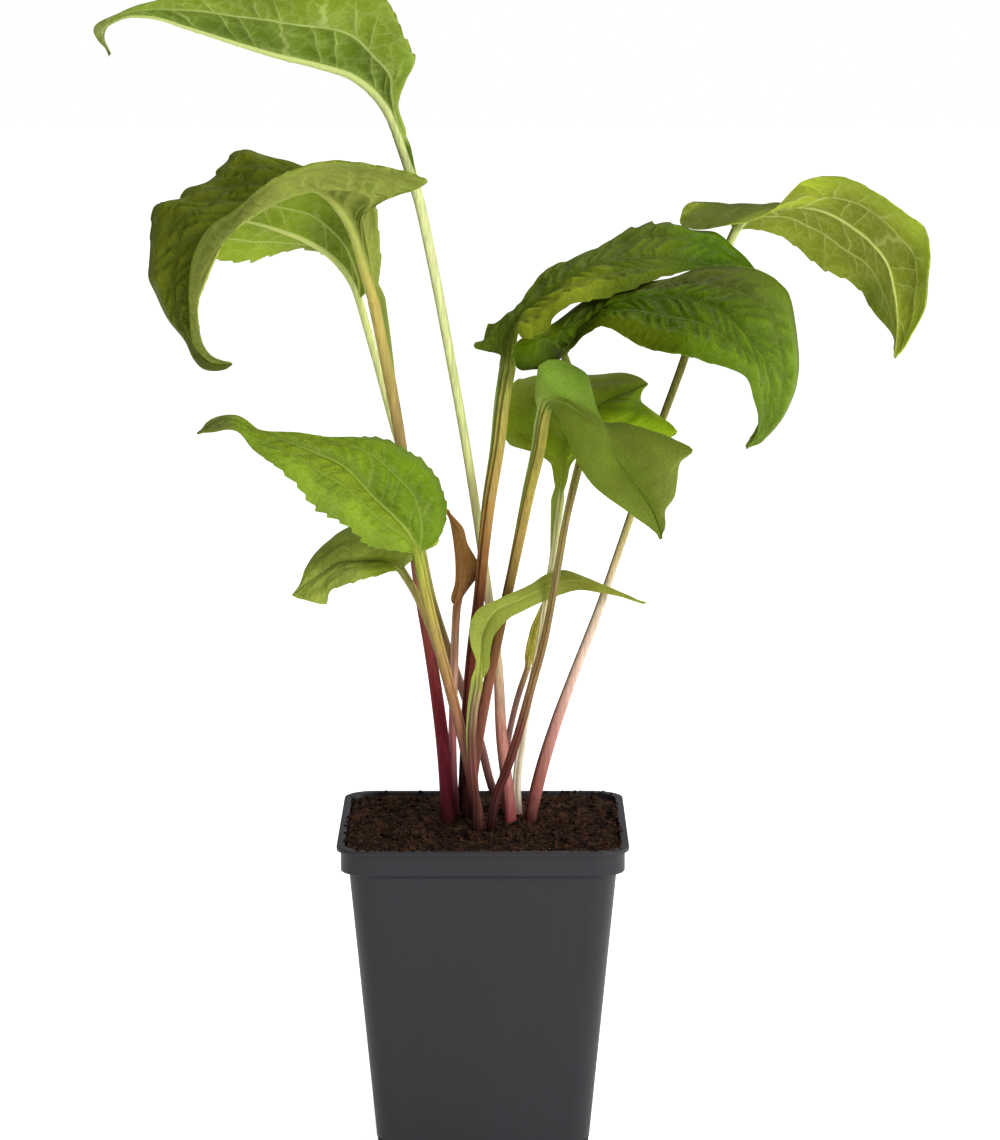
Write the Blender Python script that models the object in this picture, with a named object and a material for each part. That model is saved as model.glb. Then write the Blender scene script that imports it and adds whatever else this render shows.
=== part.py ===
"""A young coneflower, thirteen leaves rising from one crown, in a square nursery pot.

Every length is written in millimetres and turned to metres where the meshes are made.
X runs to the right, Y away from the viewer, Z up. The origin is the middle of the pot's
underside, on the surface that the pot stands on.
"""
import math

import bmesh
import bpy
import numpy as np

MM = 0.001
TOUCHING_GAP = 0.3

POT_TOP_WIDTH = 92.0
POT_HEIGHT = 100.0
POT_BASE_WIDTH = 67.4
POT_WALL = 1.1
POT_FLOOR = 1.5
POT_CORNER_RADIUS = 10.0
POT_CORNER_STEPS = 5
RIM_BAND_HEIGHT = 8.0
RIM_BAND_WIDTH = 89.4
RIM_LIP_HEIGHT = 1.3
RIM_SHOULDER = 1.0
RIM_INNER_LEDGE = 1.6
EDGE_ROUNDING = 0.4
FOOT_ROUNDING = 0.7
BODY_TOP_WIDTH = 84.3
CORNER_DRAIN_RADIUS = 9.0
CORNER_DRAIN_HEIGHT = 3.0
CORNER_DRAIN_SIDES = 20
FLOOR_DRAIN_RADIUS = 4.0
FLOOR_DRAIN_OFFSET = 17.0
FLOOR_DRAIN_SIDES = 16
CUTTER_OVERSHOOT = 2.0

SOIL_EDGE_LEVEL = 98.2
SOIL_CROWN_RISE = 1.6
SOIL_LUMP_HEIGHT = 0.7
SOIL_RING_COUNT = 7
SOIL_SIDE_SLACK = 0.3
SOIL_EDGE_CALM = 0.5
BROAD_WAVE = (0.31, 0.9, 0.27, -0.4)
CROSS_WAVE = (0.6, 0.33, 0.55)
FINE_WAVE = (0.4, 0.71, -0.48)
STALK_FOOT_LEVEL = 86.0
HOLE_TOP_LEVEL = 104.0
HOLE_CLEARANCE_BELOW = 0.65
HOLE_CLEARANCE_ABOVE = 0.9
HOLE_SIDES = 12

BLADE_THICKNESS = 0.75
RIB_THICKNESS_AT_BASE = 2.2
SIDE_RIB_THICKNESS = 1.1
STALK_SIDES = 8
GROOVE_SIDE = 2
RINGS_PER_POINT = 2
STALK_GROOVE = 0.30
STALK_END_GAP = 0.5
BLADE_BASE_SHARE = 0.8
TOOTH_START_WIDTH = 4.0
TOOTH_LEAN = 0.6
TOOTH_SHARPNESS = 8
NORMAL_PASSES = 3
SAMPLES_PER_POINT = 40
SHORTEST_LENGTH = 1e-9
RIPPLE_STEP = 0.9
SIDE_RIB_SHARE = 0.42
BLADE_COLUMNS = (1.0, 0.72, SIDE_RIB_SHARE, 0.09, 0.0, 0.09, SIDE_RIB_SHARE, 0.72, 1.0)
MIDRIB_COLUMN = 4

# Each leaf is drawn by hand as a few points in millimetres. A stalk's points are
# (x, y, z, radius) from its foot to the blade. A blade has its midrib from base to tip,
# and its two margins between those ends, left and right as seen from above with the
# tip pointing away.
LEAVES = {
    "top_left": {
        "stalk": ((8.8, 2, 100, 2), (6, 5, 126, 1.9), (4.6, 8, 151, 1.6), (1.4, 9, 174, 1.5),
                  (-1.8, 9, 197, 1.5), (-6.3, 8, 226, 1.5), (-11, 6, 253, 1.6), (-16.2, 4, 281, 1.7),
                  (-20.2, 2, 300, 1.8), (-24.6, 1, 315, 2)),
        "midrib": ((-24.8, 1, 315.6), (-29.4, 0, 328), (-34, 0, 334), (-41, -1, 339.3),
                   (-51, -2, 342.6), (-65, -3, 346), (-79, -4, 350.3), (-92, -4, 354.4),
                   (-104, -5, 357.8), (-113, -6, 357.3), (-119, -7, 353), (-116.4, -8, 345)),
        "left": ((-24, -1, 320), (-26.6, -3, 330.5), (-24.3, -6, 336.8), (-21.3, -8, 343),
                 (-24.8, -12, 352), (-28.5, -15, 360), (-38, -17, 365), (-56, -19, 366),
                 (-75, -17, 366), (-91, -13, 364.6), (-103, -9, 362.4), (-113, -8, 358.6),
                 (-121, -8, 354)),
        "right": ((-25, 4, 320), (-29, 8, 331), (-30, 16, 343), (-36, 21, 351), (-52, 23, 356),
                  (-71, 21, 359), (-90, 16, 360), (-105, 7, 360), (-113, -2, 358), (-118, -5, 352.5)),
        "rows": 24, "tooth": 0.7, "bulge": (-0.05, 0.1),
        "blade_colour": (136, 160, 48), "stalk_colour": (212, 218, 140),
    },
    "arching_left": {
        "stalk": ((-11.2, 1, 100, 2.6), (-12.5, 2, 120, 2.3), (-14.5, 4, 137, 2.1),
                  (-17.2, 6, 155, 1.9), (-20, 8, 171, 1.8), (-23.2, 8, 197, 1.8), (-26, 7, 220, 1.8),
                  (-30.2, 6, 245, 2), (-34.3, 4, 267, 2.1)),
        "midrib": ((-34.5, 4, 267.6), (-36.3, 4, 274), (-38.6, 3, 282.5), (-41.1, 2, 290.4),
                   (-44.3, 1, 296.2), (-48.7, 0, 301.5), (-53.2, -1, 304.1), (-57.6, -2, 303.8),
                   (-62.7, -4, 301.9), (-68.9, -7, 298.7), (-75.1, -11, 294.9), (-81.4, -17, 289.3),
                   (-84.6, -20, 282.5), (-87.3, -22, 275.8), (-89.4, -24, 269.6), (-89.2, -25, 263.3),
                   (-87.3, -26, 255.8), (-84.7, -27, 252.7), (-80.9, -27, 251.1), (-77.9, -27, 250.5)),
        "left": ((-33.2, 3, 273), (-33, 1, 286.6), (-33.2, -1, 293.2), (-32.8, -4, 300.2),
                 (-25.4, -7, 302), (-17.8, -10, 305), (-27.2, -13, 310), (-39.2, -15, 313),
                 (-47.3, -17, 312.7), (-56.8, -19, 309.7), (-65.6, -20, 306.6), (-71.9, -21, 302.9),
                 (-77, -22, 298.6), (-83.8, -24, 293), (-87, -25, 287.4), (-88.9, -26, 282.4),
                 (-90.3, -27, 276.2), (-91.2, -28, 270), (-90.8, -28, 263.6), (-88.8, -28, 256),
                 (-84.8, -28, 252)),
        "right": ((-36.5, 6, 273), (-38.5, 6, 285), (-42, 10, 297), (-48, 17, 304), (-54, 17, 306.6),
                  (-60, 16, 307.8), (-65, 18, 309), (-71, 19, 311.4), (-78, 18, 314.8),
                  (-83, 15, 308.8), (-87.2, 12, 303.4), (-93.6, 9, 301.4), (-95.2, 7, 299.2),
                  (-103.6, 3, 298), (-104.8, 0, 291.8), (-104.2, -5, 281), (-104, -9, 275.9),
                  (-101.6, -13, 271), (-98.2, -17, 263.4), (-93.2, -20, 257.1), (-89.8, -22, 251.7),
                  (-87.4, -23, 249.7), (-83.1, -24, 248.7), (-79.8, -25, 249.2)),
        "rows": 30, "tooth": 1.0, "bulge": (-0.1, 0.1),
        "blade_colour": (84, 108, 26), "stalk_colour": (150, 92, 66),
    },
    "rear_left": {
        "stalk": ((4.7, 22, 100, 1.4), (2, 21, 109, 1.4), (-0.8, 20, 121, 1.4), (-7.4, 19, 141, 1.4),
                  (-12.4, 18, 156, 1.3), (-16.6, 17, 170, 1.3), (-19.8, 17, 186, 1.3),
                  (-22.8, 16, 205, 1.3), (-28.4, 16, 225, 1.3), (-34.2, 16, 247, 1.3),
                  (-39.4, 15, 266.4, 1.3)),
        "midrib": ((-39.6, 15, 267), (-41.4, 15, 272), (-45.4, 15, 278), (-50, 14, 282.4),
                   (-56, 14, 286), (-65, 14, 289.6), (-74, 14, 292.3), (-84, 14, 294), (-93, 14, 293),
                   (-100, 14, 288)),
        "left": ((-37.2, 12, 270), (-38, 12, 280), (-40, 11.5, 288), (-44, 10, 295), (-50, 8.5, 300),
                 (-57, 7, 302.4), (-65, 6, 303), (-75, 6, 301), (-85, 9, 299.5), (-95, 12, 296)),
        "right": ((-42, 18, 270.6), (-45, 21, 276.5), (-49.6, 24, 281.2), (-56, 26, 282.7),
                  (-65, 27, 280.8), (-77, 26, 279.2), (-86, 24, 278.9), (-94, 20, 281),
                  (-98, 16, 284)),
        "rows": 20, "tooth": 0.8, "bulge": (0.04, 0.04),
        "blade_colour": (128, 156, 44), "stalk_colour": (186, 172, 104),
    },
    "middle_left": {
        "stalk": ((-0.8, -7, 100, 1.5), (-3.2, -8, 112, 1.5), (-6.1, -9, 127, 1.7),
                  (-9.2, -10, 140, 1.8), (-12.2, -11, 152, 1.8), (-15, -12, 163, 1.8),
                  (-17.6, -13, 174, 1.8), (-19.4, -14, 183, 1.8), (-20.3, -14, 188, 1.8)),
        "midrib": ((-20.5, -14, 188.8), (-24, -16, 197), (-29, -18, 203), (-34, -20, 208),
                   (-39, -22, 214), (-44, -24, 219), (-52, -26, 223), (-61, -29, 227),
                   (-71, -32, 230.5), (-80, -35, 234.8), (-88.3, -38, 230.8)),
        "left": ((-23, -18, 190), (-26, -22, 191), (-30, -27, 193), (-35.5, -33, 195.4),
                 (-43.6, -38, 202.2), (-50.4, -41, 208.3), (-56.5, -43, 214.4), (-63.6, -43, 220.1),
                 (-70, -42, 226.4), (-75, -40, 231.2), (-83, -39, 231)),
        "right": ((-17.4, -12, 191), (-13.8, -9, 195.5), (-11.8, -6, 203.4), (-14.2, -2, 211.4),
                  (-20, -1, 217), (-25.4, -2, 220), (-32, -4, 224), (-39, -8, 226), (-50, -16, 225.8),
                  (-61, -23, 228.3), (-69, -28, 230.6), (-77, -33, 235.8), (-84, -36, 234.8)),
        "rows": 24, "tooth": 1.1, "bulge": (0.1, 0.1),
        "blade_colour": (128, 158, 34), "stalk_colour": (150, 128, 70),
    },
    "low_left": {
        "stalk": ((-1.6, 0, 100, 1.2), (-5.5, -2, 120, 1.3), (-9, -4, 137, 1.3), (-13.2, -5, 153, 1.3),
                  (-17.9, -6, 167, 1.3), (-22, -7, 176.5, 1.3), (-25.4, -8, 182.4, 1.3)),
        "midrib": ((-26, -8.2, 183.2), (-30, -10, 186), (-39, -13, 187), (-45, -16, 187),
                   (-51, -20, 184), (-56, -23, 181), (-60, -26, 178)),
        "left": ((-29, -14, 183.4), (-36, -20, 183), (-41, -25, 181.4), (-48, -28, 179.6),
                 (-49, -30, 176), (-53, -30, 176), (-57, -28, 177)),
        "right": ((-20, -5, 188), (-14, -5, 192), (-16, -4, 196), (-26, -2, 198), (-36.4, -2, 197.8),
                  (-43.8, -4, 195.8), (-52.7, -10, 189.6), (-55.6, -16, 185), (-58, -22, 180)),
        "rows": 18, "tooth": 0.6, "bulge": (0.08, 0.08),
        "blade_colour": (104, 128, 40), "stalk_colour": (150, 168, 60),
    },
    "dried": {
        "stalk": ((-8.9, 9, 100, 1.2), (-9.8, 9, 115, 1.3), (-10, 9, 126, 1.3), (-9.4, 8, 145, 1.3),
                  (-9.1, 7, 158, 1.3), (-8.7, 6, 168, 1.3)),
        "midrib": ((-8.6, 6, 168.8), (-7.2, 5, 175), (-6.8, 5, 181), (-7, 5, 188), (-9, 5, 194),
                   (-12, 5, 201)),
        "left": ((-10, 7, 170), (-9, 7.5, 177), (-9, 7.5, 184), (-9.6, 7, 190), (-10.8, 6, 197)),
        "right": ((-6, 5, 173), (-4, 4, 176), (-2, 3.6, 179), (-2, 3.6, 184), (-5, 4, 190),
                  (-6.4, 4, 195), (-9, 4, 198)),
        "rows": 12, "tooth": 0.3, "bulge": (0.05, 0.05),
        "blade_colour": (136, 92, 58), "stalk_colour": (206, 150, 140),
    },
    "narrow_front": {
        "stalk": ((-2.2, -13.4, 100, 1.2), (-2.3, -13, 110, 1.2), (-3.2, -13, 121, 1.3),
                  (-3.5, -13, 130, 1.3), (-2.6, -12, 140, 1.3), (-1.4, -12, 146.4, 1.3)),
        "midrib": ((-1.3, -12, 147), (-1, -11, 156), (0, -10, 164), (4, -9, 170), (12, -5, 173),
                   (20, 0, 176), (28, 3, 178), (37, 4, 176.2), (46, 4, 172.7), (52.4, 4, 170.6)),
        "left": ((-2, -12, 154), (-4, -11, 160), (-4, -10, 166), (-2, -8, 170), (5, -6, 173.5),
                 (15, 1, 177), (21, 5, 180), (26, 7, 180.8), (32, 7, 178.8), (39, 6, 176)),
        "right": ((1.8, -13, 152), (2.4, -13, 158), (3.4, -13, 162.4), (7.5, -12, 167.6),
                  (13, -8, 170), (18, -3, 171.6), (23, 1, 173), (31, 2, 175), (37, 2, 174.2),
                  (43, 3, 173)),
        "rows": 18, "tooth": 0.2, "bulge": (0.06, 0.06),
        "blade_colour": (142, 172, 62), "stalk_colour": (140, 132, 70),
    },
    "upper_right": {
        "stalk": ((-6.7, 14, 100, 1.9), (-6, 12, 117, 1.9), (-5.3, 10, 135, 1.8), (-3.6, 6, 155, 1.8),
                  (-1.4, 2, 172, 1.9), (0.1, -1, 188, 1.9), (2.2, 0, 205, 2), (4.8, 2, 220, 2),
                  (6.8, 4, 236, 2.1), (8.5, 5, 245.2, 2.1)),
        "midrib": ((8.5, 5, 246), (8.4, 4, 252), (10, 3, 259), (15, 2, 265), (21, 1, 270),
                   (28, 0, 275), (38, 0, 280), (47, 1, 281), (56, 2, 281), (66, 4, 280), (75, 6, 278),
                   (83, 8, 276), (90, 10, 272)),
        "left": ((6, 5, 250), (2, 4, 251.6), (-1.2, 5, 252.4), (0.7, 8, 254.8), (4, 12, 258.8),
                 (10.2, 17, 261.2), (15.4, 21, 266.5), (20.4, 24, 272.4), (29, 26, 276.4),
                 (38, 26, 281.2), (45, 25, 286), (52, 23, 289), (60, 20, 291), (68, 18, 289),
                 (74, 16, 288), (79, 14, 283.6), (85.4, 12, 278.4)),
        "right": ((11, 3, 251), (10.8, 1, 255.5), (11, -5, 258.4), (12.4, -11.5, 257.8),
                  (16.7, -13.2, 258.2), (20.8, -14.2, 260.8), (23.4, -14.6, 264.4),
                  (26.4, -14.8, 267), (30.4, -14.6, 269), (36.7, -14, 270.6), (43, -13, 272),
                  (49.6, -11, 273.4), (56, -7.4, 275.8), (65, 1, 277.5), (76, 5, 276.5),
                  (83, 8, 274.5)),
        "rows": 26, "tooth": 0.8, "bulge": (0.1, 0.1),
        "blade_colour": (92, 116, 40), "stalk_colour": (130, 92, 60),
    },
    "broad_right": {
        "stalk": ((2.6, -11, 100, 1.6), (3.8, -10, 109, 1.6), (7.6, -9, 119, 1.6),
                  (11.5, -8, 131, 1.6), (15.6, -7, 146, 1.5), (19.1, -6, 158.5, 1.4),
                  (22, -5, 173, 1.3), (24.2, -5, 186, 1.3), (26.4, -5, 199, 1.3), (28.9, -4, 210, 1.4),
                  (31.4, -1, 220.6, 1.4), (31.8, 2, 230, 1.4), (29.9, 5, 239, 1.4),
                  (27.2, 4, 246.6, 1.4), (25.6, 2.5, 250.6, 1.4)),
        "midrib": ((25.4, 2, 251.3), (29, -4, 257), (33, -8, 262), (39, -13, 267), (48, -17, 270),
                   (57, -20, 271), (68, -22, 270), (75, -24, 267), (81, -27, 261), (87, -30, 252),
                   (88, -33, 242), (86, -35, 233), (81.6, -36, 225.6)),
        "left": ((22, 0, 249), (19, -2, 248), (15, -5, 248), (11, -8, 248), (9, -9, 252.6),
                 (11, -8.2, 256), (15, -7.4, 257.4), (22, -4.6, 261.3), (30, -2, 265.8),
                 (38, -2, 269.5), (50, -3, 273.5), (59, -4, 276), (69, -5, 278.7), (78, -5, 278.4),
                 (89.4, -5, 276.4), (96.2, -6, 271.4), (98.2, -8, 264), (98.4, -12, 255),
                 (97.7, -16, 247), (96.2, -20, 240), (93, -25, 232.6), (87.6, -31, 227.6)),
        "right": ((28, -2, 253), (31, -9, 257), (34.4, -16, 260.8), (38, -24, 261.4), (49, -34, 257.6),
                  (56, -38, 255.3), (67, -41, 253.4), (76, -43, 251.4), (80, -43, 248.6),
                  (82, -42, 242), (85, -40, 235), (84, -38, 229)),
        "rows": 28, "tooth": 1.0, "bulge": (0.04, 0.12),
        "blade_colour": (70, 98, 26), "stalk_colour": (126, 96, 64),
    },
    "far_right": {
        "stalk": ((15.2, 2, 100, 2.1), (17.5, 4, 111, 2.2), (22.8, 6, 129, 2), (29, 8, 146, 1.7),
                  (37.5, 10, 168, 1.5), (42.2, 11, 182, 1.3), (47.6, 12, 198, 1.3),
                  (55.3, 15, 222, 1.3), (64.2, 20, 246, 1.4), (71.8, 25, 268, 1.4),
                  (77.4, 28, 280, 1.4), (80.8, 29, 286.9, 1.4)),
        "midrib": ((81.2, 29.2, 287.7), (86, 30, 293), (95, 30, 296), (103, 30, 296.5), (112, 30, 294),
                   (120, 30, 289), (126, 29, 284), (131, 28, 277), (133, 27, 269), (134, 26, 262),
                   (134, 25, 254), (133, 24, 247)),
        "left": ((83, 34, 287), (88, 40, 288), (95, 43, 286.2), (102, 45, 281), (112.4, 46, 274.2),
                 (122.4, 44, 267.6), (127.8, 40, 260.6), (132.4, 33, 253)),
        "right": ((79, 31, 291), (74, 30, 295), (66.4, 26, 297), (63.2, 20, 291.4), (68, 16, 290),
                  (76, 13, 290.8), (84.5, 12, 291.8), (93, 13, 296.2), (98, 14.5, 301.5), (102, 17, 305),
                  (110, 15, 306.8), (116, 13, 305.6), (123.6, 11, 301.4), (134, 10, 295),
                  (141, 11, 290.4), (143, 13, 282.4), (142, 15, 273), (141, 17, 264), (138.4, 19, 257),
                  (135.6, 22, 250.4)),
        "rows": 26, "tooth": 0.8, "bulge": (0.08, 0.08),
        "blade_colour": (132, 146, 60), "stalk_colour": (170, 130, 104),
    },
    "centre_front": {
        "stalk": ((-5, 4, 100, 1.8), (-3.8, 4, 111, 1.8), (-2.2, 3, 123, 1.8), (1.1, 2, 142, 1.8),
                  (5.2, 2, 162, 1.7), (8.6, 1, 178, 1.7), (11.8, -1, 193, 1.7), (14.9, -4, 208, 1.7),
                  (17.9, -6, 221, 1.8), (19.4, -8, 232, 1.8)),
        "midrib": ((19.5, -8, 232.8), (21, -9, 237), (25, -11, 237), (31, -14, 234), (38, -17, 229),
                   (41, -20, 222), (44, -23, 217), (49, -26, 211), (53, -29, 205), (56, -33, 197)),
        "left": ((17, -8, 236), (17, -8, 244), (18, -8, 249), (24, -6, 250), (29, -4, 248),
                 (33, -3, 245), (34, -4, 237), (35, -6, 232), (38, -8, 230.5), (44, -9, 230.5),
                 (51, -11, 229), (60, -14, 225.8), (66, -16, 222.2), (62, -19, 219), (61, -22, 214),
                 (60, -25, 209), (57, -28, 205), (57, -31, 201)),
        "right": ((22, -12, 235), (24, -15, 232), (27, -20, 225.6), (29.6, -24, 219.4),
                  (32.6, -27, 215.4), (37.6, -29, 210.3), (45.8, -31, 204.6), (51.8, -32, 200.4)),
        "rows": 22, "tooth": 0.3, "bulge": (0.08, 0.08),
        "blade_colour": (118, 146, 52), "stalk_colour": (134, 104, 62),
    },
    "centre_rear": {
        "stalk": ((11.3, 7, 100, 1.4), (10.8, 7, 109, 1.4), (12.8, 7.5, 127, 1.3), (15.4, 8, 142, 1.2),
                  (18, 8.5, 156, 1.1), (20.5, 9, 173, 1.1), (22.4, 9, 184, 1.1), (23.9, 8.5, 196, 1.1),
                  (24.7, 8, 202.4, 1.1)),
        "midrib": ((24.8, 8, 203.2), (25.2, 7.5, 211), (25.4, 7, 218), (27, 8, 224), (30, 8, 229),
                   (35, 8, 233), (41, 9, 236), (47, 12, 238), (53, 16, 240)),
        "left": ((22.8, 8, 209), (21.6, 8.5, 215.4), (15, 11, 219), (9, 14, 220), (6, 16, 227),
                 (7, 18, 236), (10, 19, 240), (18, 19, 241.6), (28, 19, 242.4), (37, 18, 242.8),
                 (45, 17, 243), (50.6, 16, 241.8)),
        "right": ((26.8, 7, 209), (28.4, 6.2, 215.4), (35, 5, 220.5), (44, 3, 221.5), (54, 1, 222.5),
                  (61.5, -1, 226.4), (58, 1.5, 229.8), (54.5, 5, 232.4), (50.6, 9, 234.8),
                  (51, 13, 237.6)),
        "rows": 24, "tooth": 0.5, "bulge": (0.1, 0.04),
        "blade_colour": (104, 134, 30), "stalk_colour": (222, 222, 160),
    },
    "small_curled": {
        "stalk": ((4.2, 15, 100, 1.1), (6.4, 15, 113.5, 1.1), (9, 15, 129, 1.1),
                  (11.8, 14.5, 140, 1.1), (14.1, 14, 146.4, 1.1)),
        "midrib": ((14.3, 14, 147.2), (15, 14, 153), (16, 14, 160), (18, 14, 165), (19.6, 14, 169)),
        "left": ((13.4, 13, 150), (13.7, 12, 154), (15.4, 12, 160), (17.8, 13, 166)),
        "right": ((17, 15.6, 150), (17.6, 16.6, 154), (18.6, 16, 160), (20, 15, 166)),
        "rows": 10, "tooth": 0.3, "bulge": (0.12, 0.12),
        "blade_colour": (158, 168, 36), "stalk_colour": (176, 110, 104),
    },
}

POT_COLOUR = (50, 49, 53)
SOIL_COLOUR = (38, 24, 17)
BLADE_ROUGHNESS = 0.5
STALK_ROUGHNESS = 0.45
POT_ROUGHNESS = 0.42
SOIL_ROUGHNESS = 0.95
SHARP_EDGE_ANGLE = 35.0


def clear_objects():
    """Remove whatever the opened scene holds."""
    for thing in list(bpy.data.objects):
        bpy.data.objects.remove(thing, do_unlink=True)


def linear(colour):
    """Turn 0-255 display values into the linear values that a shader takes."""
    parts = [value / 255.0 for value in colour]
    return [p / 12.92 if p <= 0.04045 else ((p + 0.055) / 1.055) ** 2.4 for p in parts] + [1.0]


def finish(name, colour, roughness):
    """Make one plain Principled material."""
    material = bpy.data.materials.new(name)
    material.use_nodes = True
    shader = material.node_tree.nodes["Principled BSDF"]
    shader.inputs["Base Color"].default_value = linear(colour)
    shader.inputs["Roughness"].default_value = roughness
    shader.inputs["Metallic"].default_value = 0.0
    material.diffuse_color = linear(colour)
    return material


def new_object(name, mesh, material):
    """Link a mesh to the scene as a named object."""
    mesh.materials.append(material)
    thing = bpy.data.objects.new(name, mesh)
    bpy.context.scene.collection.objects.link(thing)
    return thing


def mesh_from(bm, name):
    """Turn a bmesh in millimetres into a mesh in metres."""
    bmesh.ops.scale(bm, vec=(MM, MM, MM), verts=bm.verts)
    mesh = bpy.data.meshes.new(name)
    bm.to_mesh(mesh)
    bm.free()
    return mesh


def unit(vectors):
    """Scale each row to length one."""
    lengths = np.linalg.norm(vectors, axis=-1, keepdims=True)
    return vectors / np.maximum(lengths, SHORTEST_LENGTH)


def smooth_route(points, count):
    """Run a smooth curve through hand-placed points and read it at even steps of length."""
    points = np.array(points, float)
    steps = np.linalg.norm(np.diff(points[:, :3], axis=0), axis=1)
    knots = np.concatenate(([0.0], np.cumsum(steps)))
    slopes = np.gradient(points, knots, axis=0)
    fine = np.linspace(0.0, knots[-1], SAMPLES_PER_POINT * len(points))
    index = np.clip(np.searchsorted(knots, fine, side="right") - 1, 0, len(steps) - 1)
    span = steps[index][:, None]
    s = ((fine - knots[index]) / steps[index])[:, None]
    curve = ((2 * s**3 - 3 * s**2 + 1) * points[index] + (s**3 - 2 * s**2 + s) * span * slopes[index]
             + (3 * s**2 - 2 * s**3) * points[index + 1] + (s**3 - s**2) * span * slopes[index + 1])
    lengths = np.linalg.norm(np.diff(curve[:, :3], axis=0), axis=1)
    travelled = np.concatenate(([0.0], np.cumsum(lengths)))
    wanted = np.linspace(0.0, travelled[-1], count)
    return np.stack([np.interp(wanted, travelled, column) for column in curve.T], axis=1)


def half_normals(direction, edge, side):
    """Top-side normals of one half blade, evened out along the leaf."""
    normals = unit(np.cross(direction, edge) * side)
    for _ in range(NORMAL_PASSES):
        padded = np.concatenate((normals[:1], normals, normals[-1:]))
        normals = unit(padded[:-2] + 2.0 * padded[1:-1] + padded[2:])
    return normals


def blade_rows(leaf):
    """Points across a blade, row by row from base to tip."""
    rows = leaf["rows"]
    base = leaf["midrib"][0]
    tip = leaf["midrib"][-1]
    mid = smooth_route(leaf["midrib"], rows)
    direction = unit(np.gradient(mid, axis=0))
    along = np.linspace(0.0, 1.0, rows)
    grid = np.zeros((rows, len(BLADE_COLUMNS), 3))
    for name, side, bulge in (("left", 1.0, leaf["bulge"][0]), ("right", -1.0, leaf["bulge"][1])):
        edge = smooth_route((base,) + leaf[name] + (tip,), rows) - mid
        width = np.linalg.norm(edge, axis=1, keepdims=True)
        base_width = leaf["stalk"][-1][3] * BLADE_BASE_SHARE
        edge[0] = unit(edge[1] - direction[0] * (edge[1] @ direction[0])) * base_width
        normals = half_normals(direction, edge, side)
        wide = width > TOOTH_START_WIDTH
        toothed = np.where(np.arange(rows) % 2 == 1, leaf["tooth"], 0.0)[:, None] * wide
        wave = leaf["tooth"] * np.sin(along * rows * RIPPLE_STEP)[:, None] * wide
        for column, share in enumerate(BLADE_COLUMNS):
            if share > 0.0 and (column < MIDRIB_COLUMN) != (side > 0):
                continue
            lift = 4.0 * share * (1.0 - share) * bulge * width
            point = mid + edge * share + normals * (lift + wave * share**2)
            point += share**TOOTH_SHARPNESS * toothed * (unit(edge) + TOOTH_LEAN * direction)
            grid[:, column] = point
    grid[-1] = mid[-1]
    return grid


def make_blade(name, leaf):
    """One leaf blade: a thin toothed sheet, thicker along its midrib and two side ribs."""
    grid = blade_rows(leaf)
    rows, columns = grid.shape[:2]
    bm = bmesh.new()
    weights = bm.verts.layers.deform.verify()
    table = []
    for i in range(rows - 1):
        fade = 1.0 - i / (rows - 1)
        line = []
        for j in range(columns):
            vert = bm.verts.new(grid[i, j])
            thickness = BLADE_THICKNESS
            if j == MIDRIB_COLUMN:
                thickness += (RIB_THICKNESS_AT_BASE - BLADE_THICKNESS) * fade
            elif BLADE_COLUMNS[j] == SIDE_RIB_SHARE:
                thickness += (SIDE_RIB_THICKNESS - BLADE_THICKNESS) * fade
            vert[weights][0] = thickness / RIB_THICKNESS_AT_BASE
            line.append(vert)
        table.append(line)
    tip = bm.verts.new(grid[-1, 0])
    tip[weights][0] = BLADE_THICKNESS / RIB_THICKNESS_AT_BASE
    for i in range(rows - 2):
        for j in range(columns - 1):
            a, b = table[i][j], table[i][j + 1]
            c, d = table[i + 1][j + 1], table[i + 1][j]
            bm.faces.new((a, b, c))
            bm.faces.new((a, c, d))
    for j in range(columns - 1):
        bm.faces.new((table[-1][j], table[-1][j + 1], tip))
    mesh = mesh_from(bm, name)
    mesh.shade_smooth()
    blade = new_object(name, mesh, finish(name, leaf["blade_colour"], BLADE_ROUGHNESS))
    blade.vertex_groups.new(name="thickness")
    solid = blade.modifiers.new("thickness", "SOLIDIFY")
    solid.thickness = RIB_THICKNESS_AT_BASE * MM
    solid.offset = -1.0
    solid.vertex_group = "thickness"
    solid.use_rim = True
    return blade


def blade_start(leaf):
    """The direction in which the blade leaves its stalk."""
    return unit(np.gradient(smooth_route(leaf["midrib"], leaf["rows"]), axis=0))[0]


def stalk_route(leaf):
    """The stalk's points from its upright foot in the soil to just short of the blade."""
    x, y, _, radius = leaf["stalk"][0]
    foot = (x, y, STALK_FOOT_LEVEL, radius)
    end = np.array(leaf["midrib"][0]) - blade_start(leaf) * STALK_END_GAP
    return (foot,) + leaf["stalk"][:-1] + ((*end, leaf["stalk"][-1][3]),)


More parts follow.
